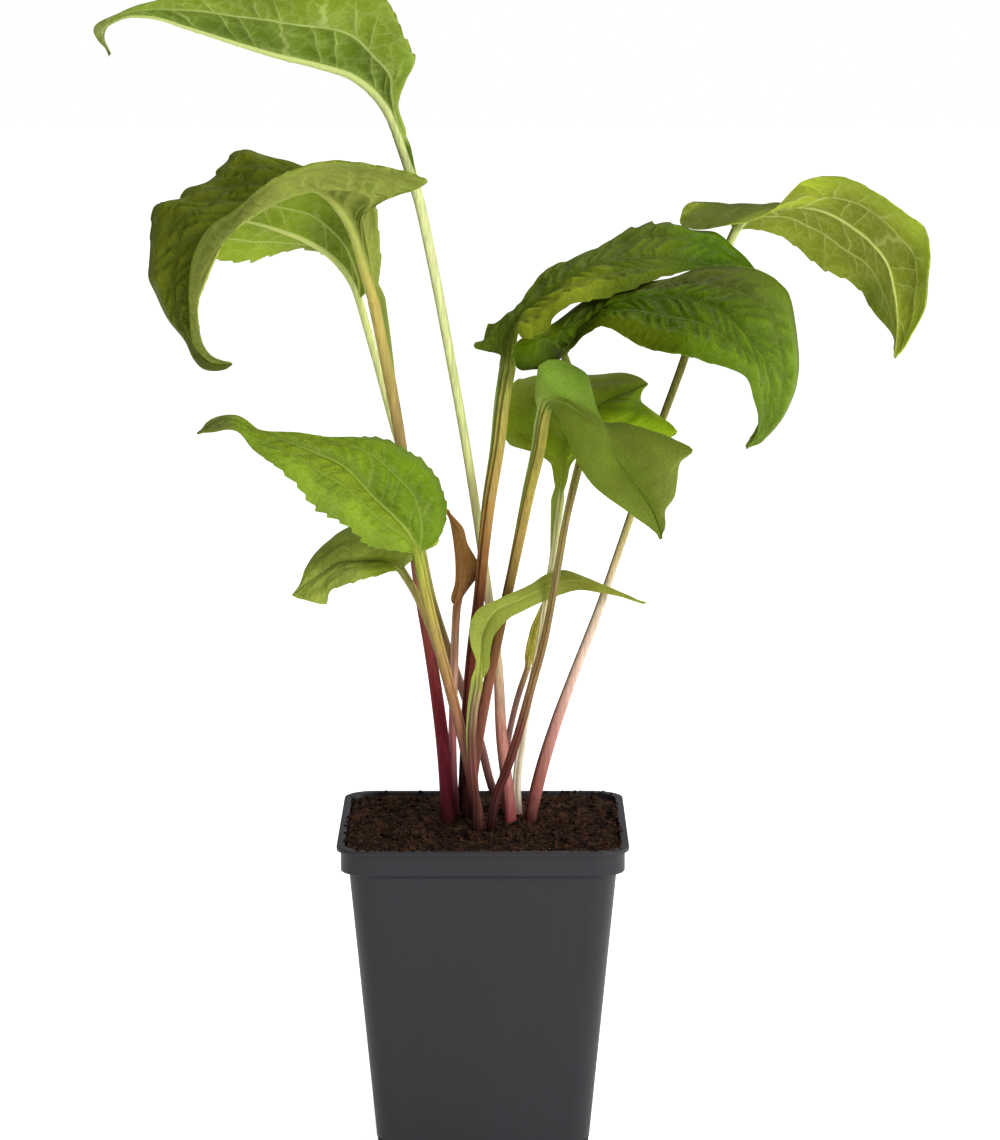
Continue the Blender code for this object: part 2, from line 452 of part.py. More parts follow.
def make_stalk(name, leaf):
    """One leaf stalk: a tapering rod with a shallow groove along its upper side."""
    rings = RINGS_PER_POINT * len(leaf["stalk"]) + 1
    route = smooth_route(stalk_route(leaf), rings)
    centres, radii = route[:, :3], route[:, 3]
    direction = unit(np.gradient(centres, axis=0))
    direction[-1] = blade_start(leaf)
    edge = np.array(leaf["left"][1], float) - np.array(leaf["right"][1], float)
    sideways = unit(edge - direction * (direction @ edge)[:, None])
    upper = np.cross(direction, sideways)
    bm = bmesh.new()
    table = []
    for centre, radius, across, up in zip(centres, radii, sideways, upper):
        ring = []
        for k in range(STALK_SIDES):
            angle = math.tau * k / STALK_SIDES
            reach = radius * (1.0 - STALK_GROOVE * (k == GROOVE_SIDE))
            ring.append(bm.verts.new(centre + reach * (math.cos(angle) * across + math.sin(angle) * up)))
        table.append(ring)
    for lower, higher in zip(table[:-1], table[1:]):
        for k in range(STALK_SIDES):
            n = (k + 1) % STALK_SIDES
            bm.faces.new((lower[n], lower[k], higher[k], higher[n]))
    bm.faces.new(table[0])
    bm.faces.new(table[-1][::-1])
    bmesh.ops.recalc_face_normals(bm, faces=bm.faces)
    mesh = mesh_from(bm, name)
    mesh.shade_smooth()
    return new_object(name, mesh, finish(name, leaf["stalk_colour"], STALK_ROUGHNESS))


def rounded_square(half, level, radius=POT_CORNER_RADIUS):
    """Points round a square with rounded corners, seen from above, anticlockwise."""
    points = []
    for quarter in range(4):
        turn = math.radians(90.0 * quarter)
        for step in range(POT_CORNER_STEPS + 1):
            angle = turn + math.radians(90.0 * step / POT_CORNER_STEPS)
            corner = half - radius
            cx = corner * math.cos(turn) - corner * math.sin(turn)
            cy = corner * math.sin(turn) + corner * math.cos(turn)
            points.append((cx + radius * math.cos(angle), cy + radius * math.sin(angle), level))
    return points


def loft(bm, sections):
    """Join closed sections with walls, and close both ends."""
    rings = [[bm.verts.new(point) for point in section] for section in sections]
    for lower, higher in zip(rings[:-1], rings[1:]):
        for k in range(len(lower)):
            n = (k + 1) % len(lower)
            bm.faces.new((lower[k], lower[n], higher[n], higher[k]))
    bm.faces.new(rings[0][::-1])
    bm.faces.new(rings[-1])


def wall_half_width(level):
    """Half the body's outer width at a height, along its straight taper."""
    share = level / (POT_HEIGHT - RIM_BAND_HEIGHT - RIM_SHOULDER)
    return 0.5 * (POT_BASE_WIDTH + (BODY_TOP_WIDTH - POT_BASE_WIDTH) * share)


def hidden_cutter(name, mesh):
    """An object that only cuts others."""
    thing = bpy.data.objects.new(name, mesh)
    bpy.context.scene.collection.objects.link(thing)
    thing.hide_render = True
    thing.display_type = "WIRE"
    return thing


def add_cylinder(bm, x, y, low, high, radius_low, radius_high, sides):
    """An upright cylinder or cone between two heights."""
    sections = []
    for level, radius in ((low, radius_low), (high, radius_high)):
        angles = [math.tau * k / sides for k in range(sides)]
        sections.append([(x + radius * math.cos(a), y + radius * math.sin(a), level) for a in angles])
    loft(bm, sections)


def cut(thing, bm, name):
    """Take a set of cutter bodies out of an object."""
    cutter = hidden_cutter(name, mesh_from(bm, name))
    boolean = thing.modifiers.new(name, "BOOLEAN")
    boolean.operation = "DIFFERENCE"
    boolean.solver = "EXACT"
    boolean.object = cutter


def make_pot():
    """The square pot: tapered wall, rim band, lip, floor, and drain holes."""
    lip_half = 0.5 * POT_TOP_WIDTH
    band_half = 0.5 * RIM_BAND_WIDTH
    band_low = POT_HEIGHT - RIM_BAND_HEIGHT
    lip_low = POT_HEIGHT - RIM_LIP_HEIGHT
    shoulder_low = band_low - RIM_SHOULDER
    inner_radius = POT_CORNER_RADIUS - POT_WALL
    outside = (
        (wall_half_width(0.0) - FOOT_ROUNDING, 0.0, POT_CORNER_RADIUS - FOOT_ROUNDING),
        (wall_half_width(FOOT_ROUNDING), FOOT_ROUNDING, POT_CORNER_RADIUS),
        (wall_half_width(shoulder_low), shoulder_low, POT_CORNER_RADIUS),
        (band_half - EDGE_ROUNDING, band_low, POT_CORNER_RADIUS),
        (band_half, band_low + 2.0 * EDGE_ROUNDING, POT_CORNER_RADIUS),
        (band_half, lip_low - EDGE_ROUNDING, POT_CORNER_RADIUS),
        (lip_half, lip_low, POT_CORNER_RADIUS),
        (lip_half, POT_HEIGHT - EDGE_ROUNDING, POT_CORNER_RADIUS),
        (lip_half - EDGE_ROUNDING, POT_HEIGHT, POT_CORNER_RADIUS),
    )
    inside = (
        (band_half - POT_WALL, POT_HEIGHT, inner_radius),
        (band_half - POT_WALL - SOIL_SIDE_SLACK, band_low + RIM_INNER_LEDGE, inner_radius),
        (wall_half_width(band_low) - POT_WALL, band_low - FOOT_ROUNDING, inner_radius),
        (wall_half_width(POT_FLOOR) - POT_WALL, POT_FLOOR, inner_radius),
    )
    bm = bmesh.new()
    loft(bm, [rounded_square(half, level, radius) for half, level, radius in outside + inside])
    mesh = mesh_from(bm, "pot")
    mesh.shade_smooth()
    mesh.set_sharp_from_angle(angle=math.radians(SHARP_EDGE_ANGLE))
    pot = new_object("pot", mesh, finish("pot", POT_COLOUR, POT_ROUGHNESS))
    drains = bmesh.new()
    corner = wall_half_width(0.0) - POT_WALL
    for side_x in (-1, 1):
        for side_y in (-1, 1):
            add_cylinder(drains, side_x * corner, side_y * corner, -CUTTER_OVERSHOOT, CORNER_DRAIN_HEIGHT,
                         CORNER_DRAIN_RADIUS, CORNER_DRAIN_RADIUS, CORNER_DRAIN_SIDES)
    for offset_x, offset_y in ((1, 0), (-1, 0), (0, 1), (0, -1)):
        add_cylinder(drains, offset_x * FLOOR_DRAIN_OFFSET, offset_y * FLOOR_DRAIN_OFFSET,
                     -CUTTER_OVERSHOOT, POT_FLOOR + CUTTER_OVERSHOOT,
                     FLOOR_DRAIN_RADIUS, FLOOR_DRAIN_RADIUS, FLOOR_DRAIN_SIDES)
    cut(pot, drains, "pot_drains")
    return pot


def soil_height(x, y, share):
    """Height of the soil's top: level at the pot wall, a low lumpy mound at the crown."""
    rate_x, shift_x, rate_y, shift_y = BROAD_WAVE
    lumps = math.sin(rate_x * x + shift_x) * math.cos(rate_y * y + shift_y)
    height, rate_x, rate_y = CROSS_WAVE
    lumps += height * math.sin(rate_x * x + rate_y * y)
    height, rate_x, rate_y = FINE_WAVE
    lumps += height * math.cos(rate_x * x + rate_y * y)
    mound = SOIL_CROWN_RISE * (1.0 - share**2)
    return SOIL_EDGE_LEVEL + mound + SOIL_LUMP_HEIGHT * lumps * (1.0 - SOIL_EDGE_CALM * share**4)


def make_soil():
    """The soil: it fills the pot, and each stalk stands in a plain hole in its top."""
    clearance = POT_WALL + TOUCHING_GAP
    band_low = POT_HEIGHT - RIM_BAND_HEIGHT
    radius = POT_CORNER_RADIUS - clearance
    edge_half = 0.5 * RIM_BAND_WIDTH - clearance - SOIL_SIDE_SLACK
    sections = [
        rounded_square(wall_half_width(POT_FLOOR) - clearance, POT_FLOOR + TOUCHING_GAP, radius),
        rounded_square(wall_half_width(band_low) - clearance - TOUCHING_GAP,
                       band_low - FOOT_ROUNDING, radius),
        rounded_square(edge_half, band_low + RIM_INNER_LEDGE + EDGE_ROUNDING, radius),
    ]
    for ring in range(SOIL_RING_COUNT):
        share = 1.0 - ring / SOIL_RING_COUNT
        flat = rounded_square(edge_half * share, 0.0, radius * share)
        sections.append([(x, y, soil_height(x, y, share)) for x, y, _ in flat])
    bm = bmesh.new()
    loft(bm, sections)
    bmesh.ops.triangulate(bm, faces=bm.faces)
    mesh = mesh_from(bm, "soil")
    mesh.shade_smooth()
    soil = new_object("soil", mesh, finish("soil", SOIL_COLOUR, SOIL_ROUGHNESS))
    holes = bmesh.new()
    for leaf in LEAVES.values():
        x, y, _, radius = leaf["stalk"][0]
        add_cylinder(holes, x, y, STALK_FOOT_LEVEL - TOUCHING_GAP, HOLE_TOP_LEVEL,
                     radius + HOLE_CLEARANCE_BELOW, radius + HOLE_CLEARANCE_ABOVE, HOLE_SIDES)
    cut(soil, holes, "stalk_holes")
    return soil


def main():
    """Build every piece."""
    clear_objects()
    make_pot()
    make_soil()
    for name, leaf in LEAVES.items():
        make_stalk("stalk_" + name, leaf)
        make_blade("leaf_" + name, leaf)


main()
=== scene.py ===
"""A young coneflower, thirteen leaves rising from one crown, in a square nursery pot.

Lengths in the tables are millimetres. X runs to the right, Y away from the viewer, Z up.
The origin is the middle of the pot's underside.
"""

import math
from types import SimpleNamespace

import bmesh
import bpy
import numpy as np
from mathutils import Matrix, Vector, noise


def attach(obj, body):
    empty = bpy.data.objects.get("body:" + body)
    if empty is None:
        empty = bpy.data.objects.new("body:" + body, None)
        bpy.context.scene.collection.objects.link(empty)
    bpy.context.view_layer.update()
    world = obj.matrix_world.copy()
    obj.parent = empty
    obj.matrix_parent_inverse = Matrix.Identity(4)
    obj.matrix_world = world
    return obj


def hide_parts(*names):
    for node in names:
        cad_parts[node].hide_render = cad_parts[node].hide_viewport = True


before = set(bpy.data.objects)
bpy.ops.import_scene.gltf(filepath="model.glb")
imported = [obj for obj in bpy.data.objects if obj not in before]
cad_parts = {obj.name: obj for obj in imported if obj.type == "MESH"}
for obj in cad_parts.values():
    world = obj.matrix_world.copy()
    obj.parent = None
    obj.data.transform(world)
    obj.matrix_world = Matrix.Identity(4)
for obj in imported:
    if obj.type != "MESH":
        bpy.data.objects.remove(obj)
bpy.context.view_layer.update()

bl_info = {
    "name": "Potted coneflower",
    "version": (1, 0, 0),
    "blender": (4, 5, 0),
    "location": "3D View > Sidebar > Coneflower",
    "description": "A young coneflower in a square nursery pot, with its stage",
    "category": "Object",
}

MM = 0.001
MERGE_DISTANCE = 1e-6
SMALLEST_LENGTH = 1e-9
SMALLEST_SHARE = 1e-6

POT_TOP_WIDTH = 92.0
POT_HEIGHT = 100.0
POT_BASE_WIDTH = 67.4
POT_WALL = 1.1
POT_FLOOR = 1.5
POT_CORNER_RADIUS = 10.0
POT_CORNER_STEPS = 8
RIM_BAND_HEIGHT = 8.0
RIM_BAND_WIDTH = 89.4
RIM_LIP_HEIGHT = 1.3
RIM_SHOULDER = 1.0
RIM_INNER_LEDGE = 1.6
BODY_TOP_WIDTH = 84.3
POT_EDGE_ROUNDING = 0.35
POT_FOOT_BLOCK = 0.5
CORNER_DRAIN_RADIUS = 9.0
CORNER_DRAIN_HEIGHT = 3.0
FLOOR_DRAIN_RADIUS = 4.0
FLOOR_DRAIN_OFFSET = 17.0
DRAIN_SIDES = 40
CUTTER_OVERSHOOT = 2.0
UPWARD = 0.9
UPRIGHT_RISE = 1e-5
UPRIGHT_DRIFT = 1e-6
ROUNDING_STEPS = 3
ROUNDING_ANGLE = 14.0
POT_SMOOTH_ANGLE = 35.0

SOIL_EDGE_LEVEL = 98.9
SOIL_CROWN_RISE = 0.6
SOIL_LUMP_HEIGHT = 0.7
SOIL_CLOD_HEIGHT = 1.5
SOIL_CLOD_SIZE = 5.5
SOIL_GRAIN_HEIGHT = 0.6
SOIL_GRAIN_SIZE = 1.6
SOIL_GRID_COUNT = 170
SOIL_DEPTH = 7.0
SOIL_GAP = 0.35
SOIL_FOOT_SHARE = 0.985
SOIL_SMOOTH_ANGLE = 60.0
STALK_FOOT_LEVEL = 90.0
# The soil's waves: rates and shifts along X and Y, then a height with its rates along X and Y.
BROAD_WAVE = (0.31, 0.9, 0.27, -0.4)
CROSS_WAVE = (0.6, 0.33, 0.55)
FINE_WAVE = (0.4, 0.71, -0.48)
SOIL_EDGE_CALM = 0.5
ROUGH_EDGE_CALM = 0.55
PORE_SIZE_SHARE = 0.45
PORE_HEIGHT_SHARE = 0.5
CLOD_SLICE = 3.0
CRUMB_SLICE = 9.0
PORE_SLICE = 17.0

CRUMB_SEED = 11
CRUMB_MARGIN = 1.5
CRUMB_SIZES = (0.35, 1.1)
CRUMB_LARGE = 1.6
CRUMB_LARGE_SHARE = 0.1
CRUMB_STRETCH = (0.55, 1.35)
CRUMB_LIFT = 0.25
CRUMB_DENTS = 0.35
CRUMB_FLATNESS = 0.8
EDGE_CRUMB_SHARE = 0.2
EDGE_CRUMB_SIZE = 0.7
EDGE_CRUMB_REACH = (0.6, 2.6)
EDGE_CRUMB_LIFT = 0.2
FIBRE_SEED = 23
FIBRE_MARGIN = 3.0
FIBRE_LENGTHS = (2.0, 6.5)
FIBRE_THICKNESSES = (0.08, 0.2)
FIBRE_BOWS = (-0.9, 0.9)
FIBRE_HOPS = (0.1, 1.3)
FIBRE_RINGS = 5
FIBRE_TAPER = 0.6
FIBRE_LIFT = 0.15
PEAT_DARK = (22, 13, 10)
PEAT_LIGHT = (126, 92, 64)
CRUMB_LIGHT = (140, 100, 70)
FIBRE_BROWN = (96, 62, 40)
FIBRE_DARK = (52, 30, 18)
FIBRE_LIGHT = (150, 112, 80)

FIRST_LEAF_SEED = 100
LEAF_SMOOTH_ANGLE = 70.0
SAMPLES_PER_POINT = 40
MEASURING_COUNT = 60
DIRECTION_BLUR = 1.5
NORMAL_BLUR = 1.3
BLUR_REACH = 3
BLADE_BASE_SHARE = 0.8
BASE_CLEARANCE = 3.0
TOOTH_LENGTHS = (0.7, 1.3)
TOOTH_HEIGHTS = (0.55, 1.15)
TOOTH_CREST = 0.8
TOOTH_BACK = 0.2
TOOTH_LEAN = 0.6
TOOTH_SHARPNESS = 8
TOOTH_FADE = (0.55, 0.8)
TOOTHED_WIDTHS = (3.5, 7.0)
RIPPLE_STEP = 0.9
STALK_ROW_STEP = 3.5
SHEET_THICKNESS = 0.55
MARGIN_TAPER = 0.5
RIB_COLUMN_SHARE = 0.12
RIB_TIP_SHARE = 0.22
RIB_TAPER_POWER = 1.6
RIB_DEPTH_SHARE = 0.95
STALK_TO_BLADE_RUN = 14.0
STALK_TO_BLADE_START = -0.4
BLADE_ONSET = (-1.0, 5.0)
SEAM_SHARE = 0.9999
RIDGED_SHARE = 0.999
GROOVE_DEPTH_SHARE = 0.24
GROOVE_WIDTH_SHARE = 0.42
SUNK_RIB_DEPTH = 0.35
FOLD_WIDTH = 1.6
WING_FADE = 10.0
METRIC_UV_SPAN = 100.0
LATERAL_START = 0.02
LATERAL_RISE = 0.07
LATERAL_WANDER = 0.012
LATERAL_WANDER_RATE = 37.0
NARROWEST_BAND = 0.5
INSIDE_REACH = 1.4
RUNG_REACH_INSIDE = 0.09
RUNG_REACH_OUTSIDE = 0.07
RUNG_BEND = 0.85
RUNG_SWAY = 0.28
RUNG_SWAY_RUN = 2.7
LARGEST_SHIFT = 6.0
RUNG_FADE = 4.0
RUNG_FADE_BAND = (0.25, 0.75)
RUNG_HOLD = (0.8, 0.3)
SWELL_WIDTH = 2.0
RIM_RUN = 6.0
RIM_SWELL = (0.3, 0.7)
LATERAL_RIDGE = 0.32
LATERAL_RIDGE_WIDTH = 0.5
RUNG_RIDGE = 0.2
RUNG_RIDGE_WIDTH = 0.45
LOBE_FADE = (0.5, 2.5)

BLOTCH_SCALE = 60.0
GRAIN_SCALE = 120.0
SWAY_SCALE = 20.0
FINE_CELLS = 64.0
STALK_STREAK_SCALE = 1500.0
# Painted shade tones: they darken the leaf's top in its valleys, the underside in the hollows by the midrib,
# and the stalk along its groove.
VALLEY_SHADE_TONE = (0.34, 0.36, 0.4, 1.0)
HOLLOW_SHADE_TONE = (0.5, 0.55, 0.3, 1.0)
CREASE_SHADE_TONE = (0.4, 0.42, 0.2, 1.0)
FINE_LINE_COLOUR = (0.012, 0.02, 0.002, 1.0)
LEAF_DEPTH = {
    "Subsurface_Weight": 0.22, "Subsurface_Radius": (0.6, 1.0, 0.15), "Subsurface_Scale": 0.0016,
}

FLOOR_SIZE = 12.0
FLOOR_GLOW_SEEN = (0.85, 0.85, 0.85, 1.0)
FLOOR_GLOW_UNSEEN = (0.3, 0.3, 0.3, 1.0)
WARM_WHITE = (1.0, 0.99, 0.965)
# Each light, in metres: its name, its place, the point that it faces, how wide it is, and its
# power as a share of the main light's.
LIGHTS = (
    ("key_light", (0.8, -1.15, 1.0), (0.0, 0.0, 0.22), 0.5, 1.0),
    ("fill_light", (-1.0, -0.9, 0.6), (0.0, 0.0, 0.2), 0.8, 0.12),
    ("side_light", (1.3, 0.35, 0.5), (0.0, 0.0, 0.2), 0.6, 0.4),
    ("top_light", (-0.1, 0.3, 1.4), (0.0, 0.0, 0.25), 0.6, 0.4),
    ("near_light", (0.4, -0.42, 0.2), (0.02, 0.0, 0.08), 0.16, 0.05),
)
SKY_TURN = 0.8
SKY_LEFT = 0.3
SKY_RIGHT = 1.7
CAMERA_PLACE = (0.0054, -1.322, 0.3936)
CAMERA_TILT = 80.9
CAMERA_LENS = 132.3
CAMERA_SENSOR = 36.0
CAMERA_REACH = (0.01, 100.0)

# Each leaf is drawn as a few points in millimetres. A stalk's points are
# (x, y, z, radius) from its foot to the blade. A blade has its midrib from base to tip,
# and its two margins between those ends, left and right as seen from above with the
# tip pointing away. "tooth" is how high the blade's ripples are and "rows" how close they
# follow each other, and "bulge" is how far its left and its right half arch, as a share of
# their width.
LEAVES = {
    "top_left": {
        "stalk": ((8.8, 2, 100, 2), (6, 5, 126, 1.9), (4.6, 8, 151, 1.6), (1.4, 9, 174, 1.5),
                  (-1.8, 9, 197, 1.5), (-6.3, 8, 226, 1.5), (-11, 6, 253, 1.6), (-16.2, 4, 281, 1.7),
                  (-20.2, 2, 300, 1.8), (-24.6, 1, 315, 2)),
        "midrib": ((-24.8, 1, 315.6), (-29.4, 0, 328), (-34, 0, 334), (-41, -1, 339.3),
                   (-51, -2, 342.6), (-65, -3, 346), (-79, -4, 350.3), (-92, -4, 354.4),
                   (-104, -5, 357.8), (-113, -6, 357.3), (-119, -7, 353), (-116.4, -8, 345)),
        "left": ((-24, -1, 320), (-26.6, -3, 330.5), (-24.3, -6, 336.8), (-21.3, -8, 343),
                 (-24.8, -12, 352), (-28.5, -15, 360), (-38, -17, 365), (-56, -19, 366),
                 (-75, -17, 366), (-91, -13, 364.6), (-103, -9, 362.4), (-113, -8, 358.6),
                 (-121, -8, 354)),
        "right": ((-25, 4, 320), (-29, 8, 331), (-30, 16, 343), (-36, 21, 351), (-52, 23, 356),
                  (-71, 21, 359), (-90, 16, 360), (-105, 7, 360), (-113, -2, 358), (-118, -5, 352.5)),
        "rows": 24, "tooth": 0.7, "bulge": (-0.05, 0.1),
    },
    "arching_left": {
        "stalk": ((-11.2, 1, 100, 2.6), (-12.5, 2, 120, 2.3), (-14.5, 4, 137, 2.1),
                  (-17.2, 6, 155, 1.9), (-20, 8, 171, 1.8), (-23.2, 8, 197, 1.8), (-26, 7, 220, 1.8),
                  (-30.2, 6, 245, 2), (-34.3, 4, 267, 2.1)),
        "midrib": ((-34.5, 4, 267.6), (-36.3, 4, 274), (-38.6, 3, 282.5), (-41.1, 2, 290.4),
                   (-44.3, 1, 296.2), (-48.7, 0, 301.5), (-53.2, -1, 304.1), (-57.6, -2, 303.8),
                   (-62.7, -4, 301.9), (-68.9, -7, 298.7), (-75.1, -11, 294.9), (-81.4, -17, 289.3),
                   (-84.6, -20, 282.5), (-87.3, -22, 275.8), (-89.4, -24, 269.6), (-89.2, -25, 263.3),
                   (-87.3, -26, 255.8), (-84.7, -27, 252.7), (-80.9, -27, 251.1), (-77.9, -27, 250.5)),
        "left": ((-33.2, 3, 273), (-33, 1, 286.6), (-33.2, -1, 293.2), (-32.8, -4, 300.2),
                 (-25.4, -7, 302), (-17.8, -10, 305), (-27.2, -13, 310), (-39.2, -15, 313),
                 (-47.3, -17, 312.7), (-56.8, -19, 309.7), (-65.6, -20, 306.6), (-71.9, -21, 302.9),
                 (-77, -22, 298.6), (-83.8, -24, 293), (-87, -25, 287.4), (-88.9, -26, 282.4),
                 (-90.3, -27, 276.2), (-91.2, -28, 270), (-90.8, -28, 263.6), (-88.8, -28, 256),
                 (-84.8, -28, 252)),
        "right": ((-36.5, 6, 273), (-38.5, 6, 285), (-42, 10, 297), (-48, 17, 304), (-54, 17, 306.6),
                  (-60, 16, 307.8), (-65, 18, 309), (-71, 19, 311.4), (-78, 18, 314.8),
                  (-83, 15, 308.8), (-87.2, 12, 303.4), (-93.6, 9, 301.4), (-95.2, 7, 299.2),
                  (-103.6, 3, 298), (-104.8, 0, 291.8), (-104.2, -5, 281), (-104, -9, 275.9),
                  (-101.6, -13, 271), (-98.2, -17, 263.4), (-93.2, -20, 257.1), (-89.8, -22, 251.7),
                  (-87.4, -23, 249.7), (-83.1, -24, 248.7), (-79.8, -25, 249.2)),
        "rows": 30, "tooth": 1.0, "bulge": (-0.1, 0.1),
    },
    "rear_left": {
        "stalk": ((4.7, 22, 100, 1.4), (2, 21, 109, 1.4), (-0.8, 20, 121, 1.4), (-7.4, 19, 141, 1.4),
                  (-12.4, 18, 156, 1.3), (-16.6, 17, 170, 1.3), (-19.8, 17, 186, 1.3),
                  (-22.8, 16, 205, 1.3), (-28.4, 16, 225, 1.3), (-34.2, 16, 247, 1.3),
                  (-39.4, 15, 266.4, 1.3)),
        "midrib": ((-39.6, 15, 267), (-41.4, 15, 272), (-45.4, 15, 278), (-50, 14, 282.4),
                   (-56, 14, 286), (-65, 14, 289.6), (-74, 14, 292.3), (-84, 14, 294), (-93, 14, 293),
                   (-100, 14, 288)),
        "left": ((-37.2, 12, 270), (-38, 12, 280), (-40, 11.5, 288), (-44, 10, 295), (-50, 8.5, 300),
                 (-57, 7, 302.4), (-65, 6, 303), (-75, 6, 301), (-85, 9, 299.5), (-95, 12, 296)),
        "right": ((-42, 18, 270.6), (-45, 21, 276.5), (-49.6, 24, 281.2), (-56, 26, 282.7),
                  (-65, 27, 280.8), (-77, 26, 279.2), (-86, 24, 278.9), (-94, 20, 281),
                  (-98, 16, 284)),
        "rows": 20, "tooth": 0.8, "bulge": (0.04, 0.04),
    },
    "middle_left": {
        "stalk": ((-0.8, -7, 100, 1.5), (-3.2, -8, 112, 1.5), (-6.1, -9, 127, 1.7),
                  (-9.2, -10, 140, 1.8), (-12.2, -11, 152, 1.8), (-15, -12, 163, 1.8),
                  (-17.6, -13, 174, 1.8), (-19.4, -14, 183, 1.8), (-20.3, -14, 188, 1.8)),
        "midrib": ((-20.5, -14, 188.8), (-24, -16, 197), (-29, -18, 203), (-34, -20, 208),
                   (-39, -22, 214), (-44, -24, 219), (-52, -26, 223), (-61, -29, 227),
                   (-71, -32, 230.5), (-80, -35, 234.8), (-88.3, -38, 230.8)),
        "left": ((-23, -18, 190), (-26, -22, 191), (-30, -27, 193), (-35.5, -33, 195.4),
                 (-43.6, -38, 202.2), (-50.4, -41, 208.3), (-56.5, -43, 214.4), (-63.6, -43, 220.1),
                 (-70, -42, 226.4), (-75, -40, 231.2), (-83, -39, 231)),
        "right": ((-17.4, -12, 191), (-13.8, -9, 195.5), (-11.8, -6, 203.4), (-14.2, -2, 211.4),
                  (-20, -1, 217), (-25.4, -2, 220), (-32, -4, 224), (-39, -8, 226), (-50, -16, 225.8),
                  (-61, -23, 228.3), (-69, -28, 230.6), (-77, -33, 235.8), (-84, -36, 234.8)),
        "rows": 24, "tooth": 1.1, "bulge": (0.1, 0.1),
    },
    "low_left": {
        "stalk": ((-1.6, 0, 100, 1.2), (-5.5, -2, 120, 1.3), (-9, -4, 137, 1.3), (-13.2, -5, 153, 1.3),
                  (-17.9, -6, 167, 1.3), (-22, -7, 176.5, 1.3), (-25.4, -8, 182.4, 1.3)),
        "midrib": ((-26, -8.2, 183.2), (-30, -10, 186), (-39, -13, 187), (-45, -16, 187),
                   (-51, -20, 184), (-56, -23, 181), (-60, -26, 178)),
        "left": ((-29, -14, 183.4), (-36, -20, 183), (-41, -25, 181.4), (-48, -28, 179.6),
                 (-49, -30, 176), (-53, -30, 176), (-57, -28, 177)),
        "right": ((-20, -5, 188), (-14, -5, 192), (-16, -4, 196), (-26, -2, 198), (-36.4, -2, 197.8),
                  (-43.8, -4, 195.8), (-52.7, -10, 189.6), (-55.6, -16, 185), (-58, -22, 180)),
        "rows": 18, "tooth": 0.6, "bulge": (0.08, 0.08),
    },
    "dried": {
        "stalk": ((-8.9, 9, 100, 1.2), (-9.8, 9, 115, 1.3), (-10, 9, 126, 1.3), (-9.4, 8, 145, 1.3),
                  (-9.1, 7, 158, 1.3), (-8.7, 6, 168, 1.3)),
        "midrib": ((-8.6, 6, 168.8), (-7.2, 5, 175), (-6.8, 5, 181), (-7, 5, 188), (-9, 5, 194),
                   (-12, 5, 201)),
        "left": ((-10, 7, 170), (-9, 7.5, 177), (-9, 7.5, 184), (-9.6, 7, 190), (-10.8, 6, 197)),
        "right": ((-6, 5, 173), (-4, 4, 176), (-2, 3.6, 179), (-2, 3.6, 184), (-5, 4, 190),
                  (-6.4, 4, 195), (-9, 4, 198)),
        "rows": 12, "tooth": 0.3, "bulge": (0.05, 0.05),
    },
    "narrow_front": {
        "stalk": ((-2.2, -13.4, 100, 1.2), (-2.3, -13, 110, 1.2), (-3.2, -13, 121, 1.3),
                  (-3.5, -13, 130, 1.3), (-2.6, -12, 140, 1.3), (-1.4, -12, 146.4, 1.3)),
        "midrib": ((-1.3, -12, 147), (-1, -11, 156), (0, -10, 164), (4, -9, 170), (12, -5, 173),
                   (20, 0, 176), (28, 3, 178), (37, 4, 176.2), (46, 4, 172.7), (52.4, 4, 170.6)),
        "left": ((-2, -12, 154), (-4, -11, 160), (-4, -10, 166), (-2, -8, 170), (5, -6, 173.5),
                 (15, 1, 177), (21, 5, 180), (26, 7, 180.8), (32, 7, 178.8), (39, 6, 176)),
        "right": ((1.8, -13, 152), (2.4, -13, 158), (3.4, -13, 162.4), (7.5, -12, 167.6),
                  (13, -8, 170), (18, -3, 171.6), (23, 1, 173), (31, 2, 175), (37, 2, 174.2),
                  (43, 3, 173)),
        "rows": 18, "tooth": 0.2, "bulge": (0.06, 0.06),
    },
    "upper_right": {
        "stalk": ((-6.7, 14, 100, 1.9), (-6, 12, 117, 1.9), (-5.3, 10, 135, 1.8), (-3.6, 6, 155, 1.8),
                  (-1.4, 2, 172, 1.9), (0.1, -1, 188, 1.9), (2.2, 0, 205, 2), (4.8, 2, 220, 2),
                  (6.8, 4, 236, 2.1), (8.5, 5, 245.2, 2.1)),
        "midrib": ((8.5, 5, 246), (8.4, 4, 252), (10, 3, 259), (15, 2, 265), (21, 1, 270),
                   (28, 0, 275), (38, 0, 280), (47, 1, 281), (56, 2, 281), (66, 4, 280), (75, 6, 278),
                   (83, 8, 276), (90, 10, 272)),
        "left": ((6, 5, 250), (2, 4, 251.6), (-1.2, 5, 252.4), (0.7, 8, 254.8), (4, 12, 258.8),
                 (10.2, 17, 261.2), (15.4, 21, 266.5), (20.4, 24, 272.4), (29, 26, 276.4),
                 (38, 26, 281.2), (45, 25, 286), (52, 23, 289), (60, 20, 291), (68, 18, 289),
                 (74, 16, 288), (79, 14, 283.6), (85.4, 12, 278.4)),
        "right": ((11, 3, 251), (10.8, 1, 255.5), (11, -5, 258.4), (12.4, -11.5, 257.8),
                  (16.7, -13.2, 258.2), (20.8, -14.2, 260.8), (23.4, -14.6, 264.4),
                  (26.4, -14.8, 267), (30.4, -14.6, 269), (36.7, -14, 270.6), (43, -13, 272),
                  (49.6, -11, 273.4), (56, -7.4, 275.8), (65, 1, 277.5), (76, 5, 276.5),
                  (83, 8, 274.5)),
        "rows": 26, "tooth": 0.8, "bulge": (0.1, 0.1),
    },
    "broad_right": {
        "stalk": ((2.6, -11, 100, 1.6), (3.8, -10, 109, 1.6), (7.6, -9, 119, 1.6),
